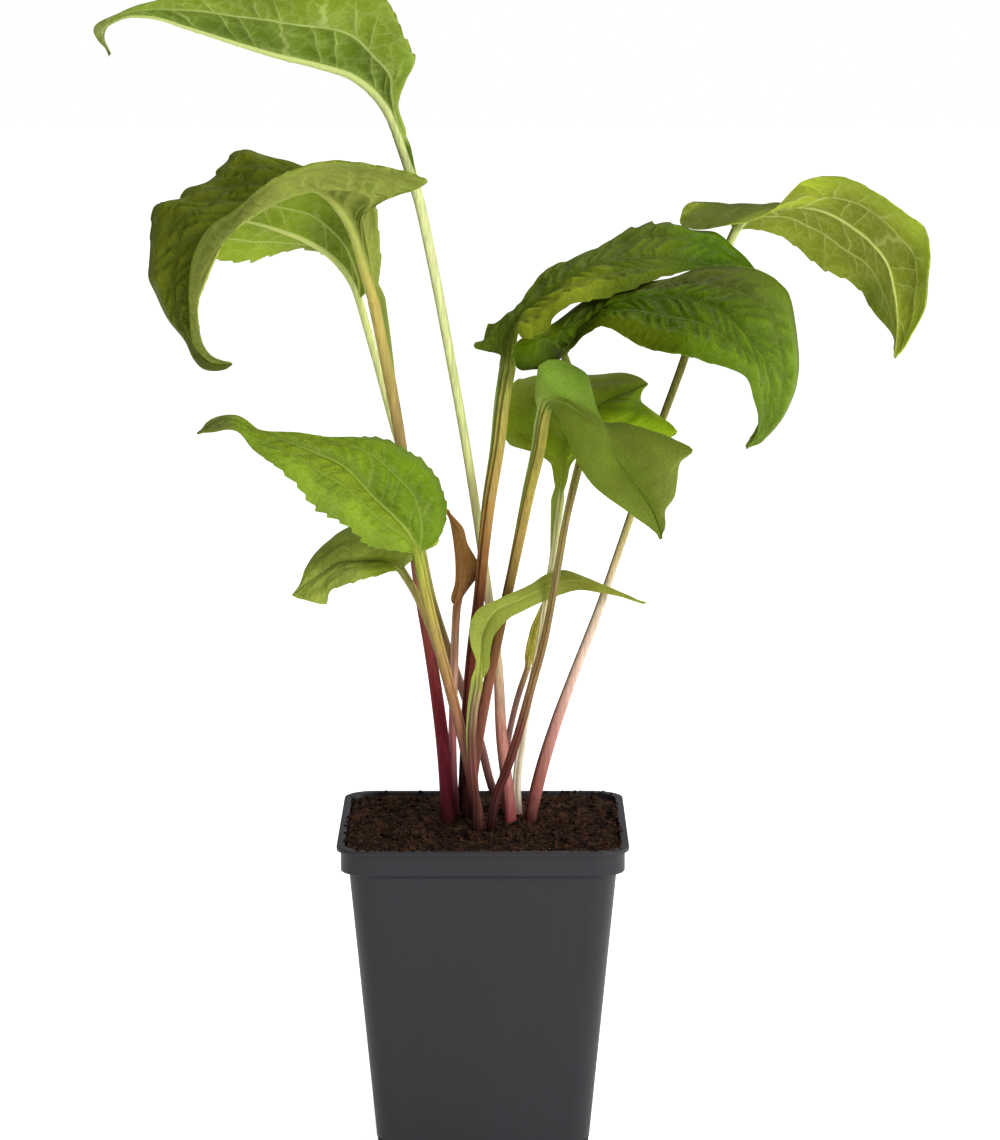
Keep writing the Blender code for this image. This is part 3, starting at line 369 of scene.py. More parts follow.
                  (11.5, -8, 131, 1.6), (15.6, -7, 146, 1.5), (19.1, -6, 158.5, 1.4),
                  (22, -5, 173, 1.3), (24.2, -5, 186, 1.3), (26.4, -5, 199, 1.3), (28.9, -4, 210, 1.4),
                  (31.4, -1, 220.6, 1.4), (31.8, 2, 230, 1.4), (29.9, 5, 239, 1.4),
                  (27.2, 4, 246.6, 1.4), (25.6, 2.5, 250.6, 1.4)),
        "midrib": ((25.4, 2, 251.3), (29, -4, 257), (33, -8, 262), (39, -13, 267), (48, -17, 270),
                   (57, -20, 271), (68, -22, 270), (75, -24, 267), (81, -27, 261), (87, -30, 252),
                   (88, -33, 242), (86, -35, 233), (81.6, -36, 225.6)),
        "left": ((22, 0, 249), (19, -2, 248), (15, -5, 248), (11, -8, 248), (9, -9, 252.6),
                 (11, -8.2, 256), (15, -7.4, 257.4), (22, -4.6, 261.3), (30, -2, 265.8),
                 (38, -2, 269.5), (50, -3, 273.5), (59, -4, 276), (69, -5, 278.7), (78, -5, 278.4),
                 (89.4, -5, 276.4), (96.2, -6, 271.4), (98.2, -8, 264), (98.4, -12, 255),
                 (97.7, -16, 247), (96.2, -20, 240), (93, -25, 232.6), (87.6, -31, 227.6)),
        "right": ((28, -2, 253), (31, -9, 257), (34.4, -16, 260.8), (38, -24, 261.4), (49, -34, 257.6),
                  (56, -38, 255.3), (67, -41, 253.4), (76, -43, 251.4), (80, -43, 248.6),
                  (82, -42, 242), (85, -40, 235), (84, -38, 229)),
        "rows": 28, "tooth": 1.0, "bulge": (0.04, 0.12),
    },
    "far_right": {
        "stalk": ((15.2, 2, 100, 2.1), (17.5, 4, 111, 2.2), (22.8, 6, 129, 2), (29, 8, 146, 1.7),
                  (37.5, 10, 168, 1.5), (42.2, 11, 182, 1.3), (47.6, 12, 198, 1.3),
                  (55.3, 15, 222, 1.3), (64.2, 20, 246, 1.4), (71.8, 25, 268, 1.4),
                  (77.4, 28, 280, 1.4), (80.8, 29, 286.9, 1.4)),
        "midrib": ((81.2, 29.2, 287.7), (86, 30, 293), (95, 30, 296), (103, 30, 296.5), (112, 30, 294),
                   (120, 30, 289), (126, 29, 284), (131, 28, 277), (133, 27, 269), (134, 26, 262),
                   (134, 25, 254), (133, 24, 247)),
        "left": ((83, 34, 287), (88, 40, 288), (95, 43, 286.2), (102, 45, 281), (112.4, 46, 274.2),
                 (122.4, 44, 267.6), (127.8, 40, 260.6), (132.4, 33, 253)),
        "right": ((79, 31, 291), (74, 30, 295), (66.4, 26, 297), (63.2, 20, 291.4), (68, 16, 290),
                  (76, 13, 290.8), (84.5, 12, 291.8), (93, 13, 296.2), (98, 14.5, 301.5), (102, 17, 305),
                  (110, 15, 306.8), (116, 13, 305.6), (123.6, 11, 301.4), (134, 10, 295),
                  (141, 11, 290.4), (143, 13, 282.4), (142, 15, 273), (141, 17, 264), (138.4, 19, 257),
                  (135.6, 22, 250.4)),
        "rows": 26, "tooth": 0.8, "bulge": (0.08, 0.08),
    },
    "centre_front": {
        "stalk": ((-5, 4, 100, 1.8), (-3.8, 4, 111, 1.8), (-2.2, 3, 123, 1.8), (1.1, 2, 142, 1.8),
                  (5.2, 2, 162, 1.7), (8.6, 1, 178, 1.7), (11.8, -1, 193, 1.7), (14.9, -4, 208, 1.7),
                  (17.9, -6, 221, 1.8), (19.4, -8, 232, 1.8)),
        "midrib": ((19.5, -8, 232.8), (21, -9, 237), (25, -11, 237), (31, -14, 234), (38, -17, 229),
                   (41, -20, 222), (44, -23, 217), (49, -26, 211), (53, -29, 205), (56, -33, 197)),
        "left": ((17, -8, 236), (17, -8, 244), (18, -8, 249), (24, -6, 250), (29, -4, 248),
                 (33, -3, 245), (34, -4, 237), (35, -6, 232), (38, -8, 230.5), (44, -9, 230.5),
                 (51, -11, 229), (60, -14, 225.8), (66, -16, 222.2), (62, -19, 219), (61, -22, 214),
                 (60, -25, 209), (57, -28, 205), (57, -31, 201)),
        "right": ((22, -12, 235), (24, -15, 232), (27, -20, 225.6), (29.6, -24, 219.4),
                  (32.6, -27, 215.4), (37.6, -29, 210.3), (45.8, -31, 204.6), (51.8, -32, 200.4)),
        "rows": 22, "tooth": 0.3, "bulge": (0.08, 0.08),
    },
    "centre_rear": {
        "stalk": ((11.3, 7, 100, 1.4), (10.8, 7, 109, 1.4), (12.8, 7.5, 127, 1.3), (15.4, 8, 142, 1.2),
                  (18, 8.5, 156, 1.1), (20.5, 9, 173, 1.1), (22.4, 9, 184, 1.1), (23.9, 8.5, 196, 1.1),
                  (24.7, 8, 202.4, 1.1)),
        "midrib": ((24.8, 8, 203.2), (25.2, 7.5, 211), (25.4, 7, 218), (27, 8, 224), (30, 8, 229),
                   (35, 8, 233), (41, 9, 236), (47, 12, 238), (53, 16, 240)),
        "left": ((22.8, 8, 209), (21.6, 8.5, 215.4), (15, 11, 219), (9, 14, 220), (6, 16, 227),
                 (7, 18, 236), (10, 19, 240), (18, 19, 241.6), (28, 19, 242.4), (37, 18, 242.8),
                 (45, 17, 243), (50.6, 16, 241.8)),
        "right": ((26.8, 7, 209), (28.4, 6.2, 215.4), (35, 5, 220.5), (44, 3, 221.5), (54, 1, 222.5),
                  (61.5, -1, 226.4), (58, 1.5, 229.8), (54.5, 5, 232.4), (50.6, 9, 234.8),
                  (51, 13, 237.6)),
        "rows": 24, "tooth": 0.5, "bulge": (0.1, 0.04),
    },
    "small_curled": {
        "stalk": ((4.2, 15, 100, 1.1), (6.4, 15, 113.5, 1.1), (9, 15, 129, 1.1),
                  (11.8, 14.5, 140, 1.1), (14.1, 14, 146.4, 1.1)),
        "midrib": ((14.3, 14, 147.2), (15, 14, 153), (16, 14, 160), (18, 14, 165), (19.6, 14, 169)),
        "left": ((13.4, 13, 150), (13.7, 12, 154), (15.4, 12, 160), (17.8, 13, 166)),
        "right": ((17, 15.6, 150), (17.6, 16.6, 154), (18.6, 16, 160), (20, 15, 166)),
        "rows": 10, "tooth": 0.3, "bulge": (0.12, 0.12),
    },
}

# How each leaf looks. Colours are 0-255 display values. "stalk" gives the stalk's colour at
# heights in millimetres. In millimetres too: "puff" is how far the tissue swells between the
# main veins, "quilt" how deep the relief of the small cells between the fine veins is, "cell"
# how wide those cells are, "rungs" how far the side veins stand apart, "teeth" how far the
# teeth stand apart, "notch" how long they are, and "row_step" how far the rows of points along
# the blade stand apart. "columns" is how many columns of points each half has. "notch" and
# "flare" are for the left and the right margin; "flare" lifts the teeth, as a share of their
# length. "net" and "veins" are how plain the net and the side veins are to see, and "lateral"
# is how far out the lateral vein runs, as a share of the half's width. "gloss" is how dull the
# surface is and "shine" how strongly it reflects. "wing" is (from, to, left, right): the part
# of the stalk, from foot 0 to blade 1, along which thin green wings widen up to those widths.
# "edges" is how light the stalk's left and right flanks are, as a share of its middle: painted light and
# shade, set by which way each flank faces.
# "leaving" is how far along the blade, from base 0 to tip 1, the midrib turns from the stalk's
# colour to the veins'. A patch is (side, colour, across, along): its colour sets in where the
# place across the blade, from the left margin at -1 to the right margin at 1, and the place
# along it, from base 0 to tip 1, pass from the first to the second value.
# Both "puff" and "quilt" also set how dark the painted shade is in the valleys of the top side.
WHOLE = (-1.2, -1.1)
LOOKS = {
    "top_left": {
        "slots": "leaf_lime", "top": (82, 104, 18), "under": (118, 140, 26), "vein_top": (150, 170, 84),
        "vein_under": (214, 226, 140), "gloss": 0.46, "shine": 0.12, "puff": 1.0, "quilt": 0.24, "cell": 7.0,
        "net": 0.1, "rungs": 9.0, "teeth": 4.6, "notch": (1.4, 0.6), "row_step": 0.75, "columns": 42,
        "lateral": 0.5, "wing": (0.955, 1.0, 1.2, 0.0), "wing_colour": (84, 106, 26),
        "flare": (0.4, 0.0), "veins": 0.45, "leaving": 0.25, "edges": (0.65, 0.85),
        "stalk": ((100, (160, 78, 82)), (126, (222, 156, 140)), (151, (222, 198, 158)),
                  (197, (212, 212, 142)), (230, (218, 226, 150)), (281, (226, 232, 166)),
                  (315, (218, 226, 152))),
        "patches": (("under", (100, 126, 14), (-0.62, -0.42), (0.02, 0.1)),
                    ("under", (134, 158, 46), (-0.6, -0.85), (0.3, 0.15)),
                    ("under", (88, 100, 30), WHOLE, (0.84, 0.93)),
                    ("top", (96, 108, 34), WHOLE, (0.84, 0.93))),
    },
    "arching_left": {
        "slots": "leaf_deep", "top": (112, 132, 2), "under": (134, 145, 58), "vein_top": (120, 130, 62),
        "vein_under": (182, 190, 96), "gloss": 0.42, "shine": 0.09, "puff": 1.9, "quilt": 0.5, "cell": 4.8,
        "net": 0.08, "rungs": 5.6, "teeth": 7.0, "notch": (1.0, 0.8), "row_step": 0.75, "columns": 42,
        "lateral": 0.45, "wing": (0.84, 1.0, 1.8, 0.0), "wing_colour": (128, 140, 62),
        "flare": (0.2, 0.3), "veins": 0.2, "leaving": 0.2, "edges": (1.0, 0.8),
        "stalk": ((100, (70, 26, 32)), (112, (124, 34, 52)), (137, (138, 44, 52)), (160, (136, 66, 58)),
                  (190, (150, 100, 78)), (220, (166, 138, 88)), (245, (190, 170, 96)),
                  (272, (206, 190, 100))),
        "patches": (("under", (74, 84, 16), WHOLE, (0.5, 0.66)),
                    ("top", (112, 132, 0), WHOLE, (0.6, 0.85)),
                    ("top", (116, 126, 26), (-0.5, -0.2), (0.1, 0.2))),
    },
    "rear_left": {
        "slots": "leaf_lime", "top": (84, 112, 20), "under": (150, 174, 38), "vein_top": (150, 176, 84),
        "vein_under": (216, 224, 134), "gloss": 0.46, "shine": 0.12, "puff": 0.4, "quilt": 0.14, "cell": 6.0,
        "net": 0.1, "rungs": 9.0, "teeth": 5.5, "notch": (0.6, 1.8), "row_step": 0.8, "columns": 34,
        "lateral": 0.5, "wing": (0.93, 1.0, 0.0, 1.2), "wing_colour": (104, 130, 20),
        "flare": (0.0, -0.7), "veins": 0.5, "leaving": 0.25, "edges": (0.85, 1.0),
        "stalk": ((101, (84, 42, 40)), (110, (156, 108, 104)), (128, (168, 126, 118)), (156, (150, 124, 82)),
                  (172, (158, 152, 80)), (212, (202, 208, 124)), (247, (228, 234, 162)),
                  (266, (220, 228, 144))),
        "patches": (("under", (112, 134, 10), WHOLE, (0.5, 0.25)),),
    },
    "middle_left": {
        "slots": "leaf_lime", "top": (130, 154, 24), "under": (96, 104, 46), "vein_top": (184, 204, 96),
        "vein_under": (176, 192, 96), "gloss": 0.42, "shine": 0.14, "puff": 1.3, "quilt": 0.3, "cell": 4.4,
        "net": 0.05, "rungs": 6.0, "teeth": 4.4, "notch": (1.5, 0.9), "row_step": 0.7, "columns": 42,
        "lateral": 0.42, "wing": (0.88, 1.0, 0.8, 0.6), "wing_colour": (132, 152, 54),
        "flare": (-0.5, 0.3), "veins": 0.24, "leaving": 0.1, "edges": (0.7, 1.15),
        "stalk": ((100, (112, 72, 62)), (112, (132, 80, 70)), (127, (162, 109, 88)), (145, (170, 122, 80)),
                  (160, (180, 152, 88)), (174, (180, 166, 76)), (188, (166, 170, 64))),
        "patches": (("top", (136, 163, 34), (-0.25, -0.6), (0.0, 0.1)),
                    ("top", (118, 150, 18), (-0.05, 0.2), (0.6, 0.3)),
                    ("top", (124, 136, 58), WHOLE, (0.84, 0.9)),
                    ("under", (124, 136, 58), WHOLE, (0.84, 0.9))),
    },
    "low_left": {
        "slots": "leaf_deep", "top": (176, 190, 80), "under": (150, 170, 62), "vein_top": (108, 118, 40),
        "vein_under": (170, 188, 90), "gloss": 0.5, "shine": 0.12, "puff": 0.5, "quilt": 0.3, "cell": 4.0,
        "net": 0.1, "rungs": 6.5, "teeth": 6.0, "notch": (1.0, 0.6), "row_step": 0.8, "columns": 30,
        "lateral": 0.45, "wing": (0.9, 1.0, 0.4, 0.4), "wing_colour": (140, 150, 70),
        "flare": (0.0, 0.0), "veins": 0.3, "leaving": 0.1, "edges": (0.8, 1.1),
        "stalk": ((100, (70, 38, 32)), (120, (122, 76, 70)), (137, (156, 104, 76)), (153, (168, 134, 86)),
                  (170, (184, 158, 98)), (184, (168, 170, 88))),
        "patches": (("top", (136, 150, 36), (0.5, 0.1), (0.5, 0.2)),),
    },
    "dried": {
        "slots": "leaf_dry", "top": (172, 122, 66), "under": (150, 104, 66), "vein_top": (172, 130, 92),
        "vein_under": (186, 146, 104), "gloss": 0.7, "shine": 0.08, "puff": 0.5, "quilt": 0.35, "cell": 2.6,
        "net": 0.15, "rungs": 4.0, "teeth": 3.0, "notch": (0.6, 0.6), "row_step": 0.6, "columns": 20,
        "lateral": 0.5, "wing": (0.9, 1.0, 0.2, 0.2), "wing_colour": (128, 92, 60),
        "flare": (0.0, 0.0), "veins": 0.3, "leaving": 0.05, "edges": (1.0, 0.7),
        "stalk": ((100, (70, 28, 36)), (114, (170, 96, 106)), (126, (190, 112, 116)), (146, (226, 174, 152)),
                  (160, (194, 150, 122)), (170, (158, 108, 78))),
        "patches": (("top", (110, 70, 38), (0.2, 0.8), (0.6, 0.2)),),
    },
    "narrow_front": {
        "slots": "leaf_fresh", "top": (164, 176, 72), "under": (152, 162, 62), "vein_top": (190, 200, 104),
        "vein_under": (186, 198, 104), "gloss": 0.52, "shine": 0.1, "puff": 0.15, "quilt": 0.03, "cell": 4.0,
        "net": 0.04, "rungs": 9.0, "teeth": 9.0, "notch": (0.2, 0.2), "row_step": 0.8, "columns": 22,
        "lateral": 0.5, "wing": (0.5, 1.0, 1.4, 0.2), "wing_colour": (150, 166, 80),
        "flare": (0.0, 0.0), "veins": 0.1, "leaving": 0.1, "edges": (0.9, 1.0),
        "stalk": ((100, (44, 22, 18)), (110, (98, 54, 44)), (121, (138, 80, 74)), (130, (130, 92, 72)),
                  (140, (162, 136, 104)), (148, (166, 160, 90))),
        "patches": (("top", (139, 143, 50), WHOLE, (0.35, 0.65)),),
    },
    "upper_right": {
        "slots": "leaf_deep", "top": (104, 122, 18), "under": (98, 110, 28), "vein_top": (118, 130, 52),
        "vein_under": (150, 168, 76), "gloss": 0.4, "shine": 0.09, "puff": 1.8, "quilt": 0.35, "cell": 4.8,
        "net": 0.07, "rungs": 5.4, "teeth": 8.0, "notch": (2.8, 1.3), "row_step": 0.75, "columns": 42,
        "lateral": 0.45, "wing": (0.6, 1.0, 1.3, 0.0), "wing_colour": (132, 146, 78),
        "flare": (0.6, -0.3), "veins": 0.3, "leaving": 0.08, "edges": (0.45, 1.15),
        "stalk": ((100, (52, 24, 24)), (117, (74, 30, 30)), (135, (118, 46, 46)), (155, (112, 54, 38)),
                  (172, (102, 52, 30)), (188, (144, 98, 50)), (205, (176, 142, 78)),
                  (222, (188, 170, 88)), (246, (170, 176, 78))),
        "patches": (("top", (150, 162, 34), (0.1, 0.4), (0.55, 0.35)),
                    ("top", (92, 128, 8), WHOLE, (0.64, 0.8))),
    },
    "broad_right": {
        "slots": "leaf_deep", "top": (86, 112, 0), "under": (96, 118, 30), "vein_top": (118, 138, 50),
        "vein_under": (150, 168, 76), "gloss": 0.36, "shine": 0.07, "puff": 1.9, "quilt": 0.32, "cell": 4.4,
        "net": 0.07, "rungs": 5.4, "teeth": 7.0, "notch": (0.5, 0.4), "row_step": 0.75, "columns": 44,
        "lateral": 0.45, "wing": (0.95, 1.0, 0.3, 0.3), "wing_colour": (120, 136, 50),
        "flare": (0.0, 0.0), "veins": 0.3, "leaving": 0.08, "edges": (1.25, 0.75),
        "stalk": ((100, (48, 22, 22)), (109, (86, 48, 46)), (119, (102, 48, 46)), (131, (122, 72, 58)),
                  (146, (152, 118, 80)), (160, (142, 112, 72)), (180, (146, 128, 82)),
                  (199, (168, 148, 88)), (220, (150, 146, 74)), (250, (154, 158, 70))),
        # The first patch is a painted sheen: a greyer colour on the far half stands in for reflected light.
        "patches": (("top", (88, 96, 32), (-0.15, -0.5), (0.12, 0.3)),
                    ("top", (106, 118, 10), (0.6, 0.9), (0.6, 0.4)),
                    ("top", (112, 142, 28), WHOLE, (0.5, 0.8)),
                    # Painted shadow: the base is darker where the upper_right leaf overhangs it.
                    ("top", (54, 68, 0), (0.1, -0.2), (0.16, 0.08))),
    },
    "far_right": {
        "slots": "leaf_fresh", "top": (98, 109, 20), "under": (134, 145, 30), "vein_top": (124, 136, 66),
        "vein_under": (212, 220, 128), "gloss": 0.5, "shine": 0.12, "puff": 0.5, "quilt": 0.26, "cell": 5.0,
        "net": 0.1, "rungs": 8.0, "teeth": 7.0, "notch": (1.3, 1.0), "row_step": 0.75, "columns": 42,
        "lateral": 0.5, "wing": (0.97, 1.0, 0.3, 0.3), "wing_colour": (150, 160, 70),
        "flare": (0.0, 0.0), "veins": 0.5, "leaving": 0.3, "edges": (0.28, 1.12),
        "stalk": ((100, (78, 36, 34)), (111, (166, 98, 88)), (129, (202, 144, 134)), (146, (226, 190, 172)),
                  (168, (222, 202, 178)), (182, (202, 182, 136)), (198, (178, 168, 98)),
                  (246, (134, 132, 62)), (276, (170, 178, 84)), (287, (214, 222, 146))),
        "patches": (("under", (96, 106, 16), (0.1, 0.32), (0.24, 0.18)),
                    ("top", (140, 152, 44), (0.0, 0.1), (0.27, 0.31)),
                    ("under", (162, 178, 38), (0.4, 0.9), (0.15, 0.3))),
    },
    "centre_front": {
        "slots": "leaf_fresh", "top": (112, 128, 36), "under": (126, 148, 48), "vein_top": (128, 146, 60),
        "vein_under": (176, 196, 100), "gloss": 0.52, "shine": 0.1, "puff": 0.25, "quilt": 0.05, "cell": 4.6,
        "net": 0.04, "rungs": 9.0, "teeth": 12.0, "notch": (0.2, 0.2), "row_step": 0.8, "columns": 34,
        "lateral": 0.45, "wing": (0.6, 1.0, 1.3, 0.0), "wing_colour": (140, 160, 82),
        "flare": (0.0, 0.0), "veins": 0.1, "leaving": 0.03, "edges": (0.5, 1.3),
        "stalk": ((100, (50, 20, 20)), (111, (128, 76, 72)), (142, (142, 88, 66)), (160, (118, 84, 46)),
                  (176, (114, 90, 40)), (193, (166, 140, 74)), (210, (180, 164, 80)), (232, (176, 170, 76))),
        "patches": (("top", (116, 129, 44), (-0.1, -0.4), (0.35, 0.5)),
                    ("top", (134, 168, 56), (-0.05, -0.3), (0.42, 0.26)),
                    ("top", (134, 154, 62), WHOLE, (0.16, 0.04))),
    },
    "centre_rear": {
        "slots": "leaf_fresh", "top": (148, 168, 26), "under": (124, 142, 40), "vein_top": (164, 184, 76),
        "vein_under": (170, 190, 96), "gloss": 0.42, "shine": 0.16, "puff": 0.9, "quilt": 0.18, "cell": 4.6,
        "net": 0.06, "rungs": 6.0, "teeth": 5.0, "notch": (0.9, 0.9), "row_step": 0.8, "columns": 34,
        "lateral": 0.45, "wing": (0.84, 1.0, 2.0, 0.2), "wing_colour": (146, 164, 66),
        "flare": (0.0, 0.0), "veins": 0.35, "leaving": 0.08, "edges": (0.8, 1.1),
        "stalk": ((100, (222, 184, 176)), (109, (242, 230, 204)), (130, (236, 222, 192)),
                  (184, (228, 226, 170)), (203, (206, 214, 136))),
        "patches": (("top", (186, 216, 34), (0.1, 0.4), (0.15, 0.35)),
                    ("top", (168, 176, 66), (-0.05, -0.35), (0.4, 0.55))),
    },
    "small_curled": {
        "slots": "leaf_lime", "top": (170, 160, 44), "under": (190, 182, 62), "vein_top": (214, 206, 110),
        "vein_under": (214, 208, 112), "gloss": 0.5, "shine": 0.12, "puff": 0.3, "quilt": 0.2, "cell": 2.6,
        "net": 0.1, "rungs": 4.0, "teeth": 3.0, "notch": (0.4, 0.4), "row_step": 0.6, "columns": 18,
        "lateral": 0.5, "wing": (0.9, 1.0, 0.2, 0.2), "wing_colour": (186, 176, 54),
        "flare": (0.0, 0.0), "veins": 0.3, "leaving": 0.05, "edges": (1.0, 1.0),
        "stalk": ((100, (76, 40, 38)), (114, (164, 92, 90)), (129, (186, 142, 134)), (140, (166, 124, 112)),
                  (147, (196, 170, 116))),
        "patches": (),
    },
}


def linear(colour):
    """Turn 0-255 display values into the linear values that a shader takes."""
    parts = [value / 255.0 for value in colour]
    return [p / 12.92 if p <= 0.04045 else ((p + 0.055) / 1.055) ** 2.4 for p in parts] + [1.0]


def deselect_all():
    """Leave edit mode and clear the selection."""
    if bpy.context.object and bpy.context.object.mode != "OBJECT":
        bpy.ops.object.mode_set(mode="OBJECT")
    bpy.ops.object.select_all(action="DESELECT")


def unit(vectors):
    """Scale each row to length one."""
    lengths = np.linalg.norm(vectors, axis=-1, keepdims=True)
    return vectors / np.maximum(lengths, SMALLEST_LENGTH)


def smooth_step(values, low, high):
    """Rise smoothly from 0 at low to 1 at high."""
    share = np.clip((values - low) / (high - low), 0.0, 1.0)
    return share * share * (3.0 - 2.0 * share)


def smooth_route(points, count):
    """Run a smooth curve through given points and read it at even steps of length."""
    points = np.array(points, float)
    steps = np.linalg.norm(np.diff(points[:, :3], axis=0), axis=1)
    knots = np.concatenate(([0.0], np.cumsum(steps)))
    slopes = np.gradient(points, knots, axis=0)
    fine = np.linspace(0.0, knots[-1], SAMPLES_PER_POINT * len(points))
    index = np.clip(np.searchsorted(knots, fine, side="right") - 1, 0, len(steps) - 1)
    span = steps[index][:, None]
    s = ((fine - knots[index]) / steps[index])[:, None]
    curve = ((2 * s**3 - 3 * s**2 + 1) * points[index] + (s**3 - 2 * s**2 + s) * span * slopes[index]
             + (3 * s**2 - 2 * s**3) * points[index + 1] + (s**3 - s**2) * span * slopes[index + 1])
    travelled = run_lengths(curve)
    wanted = np.linspace(0.0, travelled[-1], count)
    return np.stack([np.interp(wanted, travelled, column) for column in curve.T], axis=1)


def run_lengths(points):
    """Distance travelled at each point of a line."""
    steps = np.linalg.norm(np.diff(points[:, :3], axis=0), axis=1)
    return np.concatenate(([0.0], np.cumsum(steps)))


def even_out(values, spread):
    """Blur rows of values along their first axis, with the ends held."""
    reach = int(BLUR_REACH * spread) + 1
    weights = np.exp(-0.5 * (np.arange(-reach, reach + 1) / spread) ** 2)
    weights /= weights.sum()
    padded = np.concatenate([values[:1]] * reach + [values] + [values[-1:]] * reach)
    return np.stack([np.convolve(column, weights, mode="valid") for column in padded.T], axis=1)


def leaf_line(leaf, look):
    """The line of a leaf from its foot to its tip, row by row: where it runs and in which
    direction, the stalk's or the midrib's radius, and how far along each row lies."""
    blade_length = run_lengths(smooth_route(leaf["midrib"], MEASURING_COUNT))[-1]
    blade_count = int(blade_length / look["row_step"]) + 2
    midrib = smooth_route(leaf["midrib"], blade_count)
    x, y, _, foot_radius = leaf["stalk"][0]
    end_radius = leaf["stalk"][-1][3]
    route = ((x, y, STALK_FOOT_LEVEL, foot_radius),) + leaf["stalk"][:-1]
    route += ((*leaf["midrib"][0], end_radius),)
    stalk_length = run_lengths(smooth_route(route, MEASURING_COUNT))[-1]
    stalk = smooth_route(route, int(stalk_length / STALK_ROW_STEP) + 2)[:-1]
    share = np.linspace(0.0, 1.0, blade_count)
    rib = end_radius * (RIB_TIP_SHARE + (1.0 - RIB_TIP_SHARE) * (1.0 - share) ** RIB_TAPER_POWER)
    line = SimpleNamespace(stalk_count=len(stalk), blade_count=blade_count)
    line.centre = np.concatenate((stalk[:, :3], midrib))
    line.radius = np.concatenate((stalk[:, 3], rib))
    line.along = np.concatenate((np.zeros(len(stalk)), share))
    line.travelled = run_lengths(line.centre)
    line.blade_travel = line.travelled - line.travelled[len(stalk)]
    direction = unit(np.gradient(line.centre, line.travelled, axis=0))
    line.direction = unit(even_out(direction, DIRECTION_BLUR))
    line.spread = NORMAL_BLUR * blade_count / leaf["rows"]
    return line


def tooth_profile(travelled, spacing, generator):
    """Forward-leaning saw teeth of uneven length and height along a margin."""
    count = int(travelled[-1] / spacing) + 3
    ends = np.cumsum(spacing * generator.uniform(*TOOTH_LENGTHS, count))
    heights = generator.uniform(*TOOTH_HEIGHTS, count + 1)
    index = np.searchsorted(ends, travelled, side="right")
    starts = np.concatenate(([0.0], ends))
    ends = np.concatenate((ends, [ends[-1] + spacing]))
    share = (travelled - starts[index]) / (ends[index] - starts[index])
    rise = np.where(share < TOOTH_CREST, share / TOOTH_CREST, (1.0 - share) / TOOTH_BACK)
    return rise * heights[np.minimum(index, count)]


def vein_fields(look, width, radius, x, travel, generator):
    """Where a half blade's veins run: the signed distance to its lateral vein, two counts that
    pass through a half at each side vein inside and outside the lateral, and how far out from
    the lateral to the margin each place lies."""
    length = travel[-1]
    place = np.clip(travel / length, 0.0, 1.0)
    past_start = np.clip(place - LATERAL_START, 0.0, 1.0)
    share = look["lateral"] * (1.0 - np.exp(-past_start / LATERAL_RISE))
    shift = generator.uniform(0.0, LARGEST_SHIFT)
    wander = LATERAL_WANDER * np.sin(place * LATERAL_WANDER_RATE + shift)
    lateral_x = radius + (share + wander * (place > LATERAL_START)) * (width - radius)
    slope = np.gradient(lateral_x, travel)
    lateral = (x - lateral_x[:, None]) / np.sqrt(1.0 + slope**2)[:, None]
    spacing = look["rungs"]
    inner_band = np.maximum(lateral_x - radius, NARROWEST_BAND)[:, None]
    outer_band = np.maximum(width - lateral_x, NARROWEST_BAND)[:, None]
    inside = np.clip((x - radius[:, None]) / inner_band, 0.0, INSIDE_REACH)
    outside = np.clip((x - lateral_x[:, None]) / outer_band, 0.0, 1.0)
    counts = []
    for part, reach in ((inside, RUNG_REACH_INSIDE), (outside, RUNG_REACH_OUTSIDE)):
        level = travel[:, None] - reach * length * part**RUNG_BEND
        shift = generator.uniform(0.0, LARGEST_SHIFT)
        sway = RUNG_SWAY * spacing * np.sin(level * math.tau / (RUNG_SWAY_RUN * spacing) + shift)
        counts.append((level + sway) / spacing + generator.uniform(0.0, 1.0))
    return lateral, counts[0], counts[1], outside


def rung_distance(count, spacing):
    """Distance in millimetres to the nearest place where a count passes through a half."""
    return np.abs(count - np.floor(count) - 0.5) * spacing


def wing_growth(look, line):
    """How far the stalk's wings have widened at each row, from 0 to 1."""
    start, end = look["wing"][:2]
    rise = line.travelled / line.travelled[line.stalk_count]
    growth = np.clip((rise - start) / (end - start), 0.0, 1.0)
    return growth * (1.0 - smooth_step(line.blade_travel, 0.0, WING_FADE))


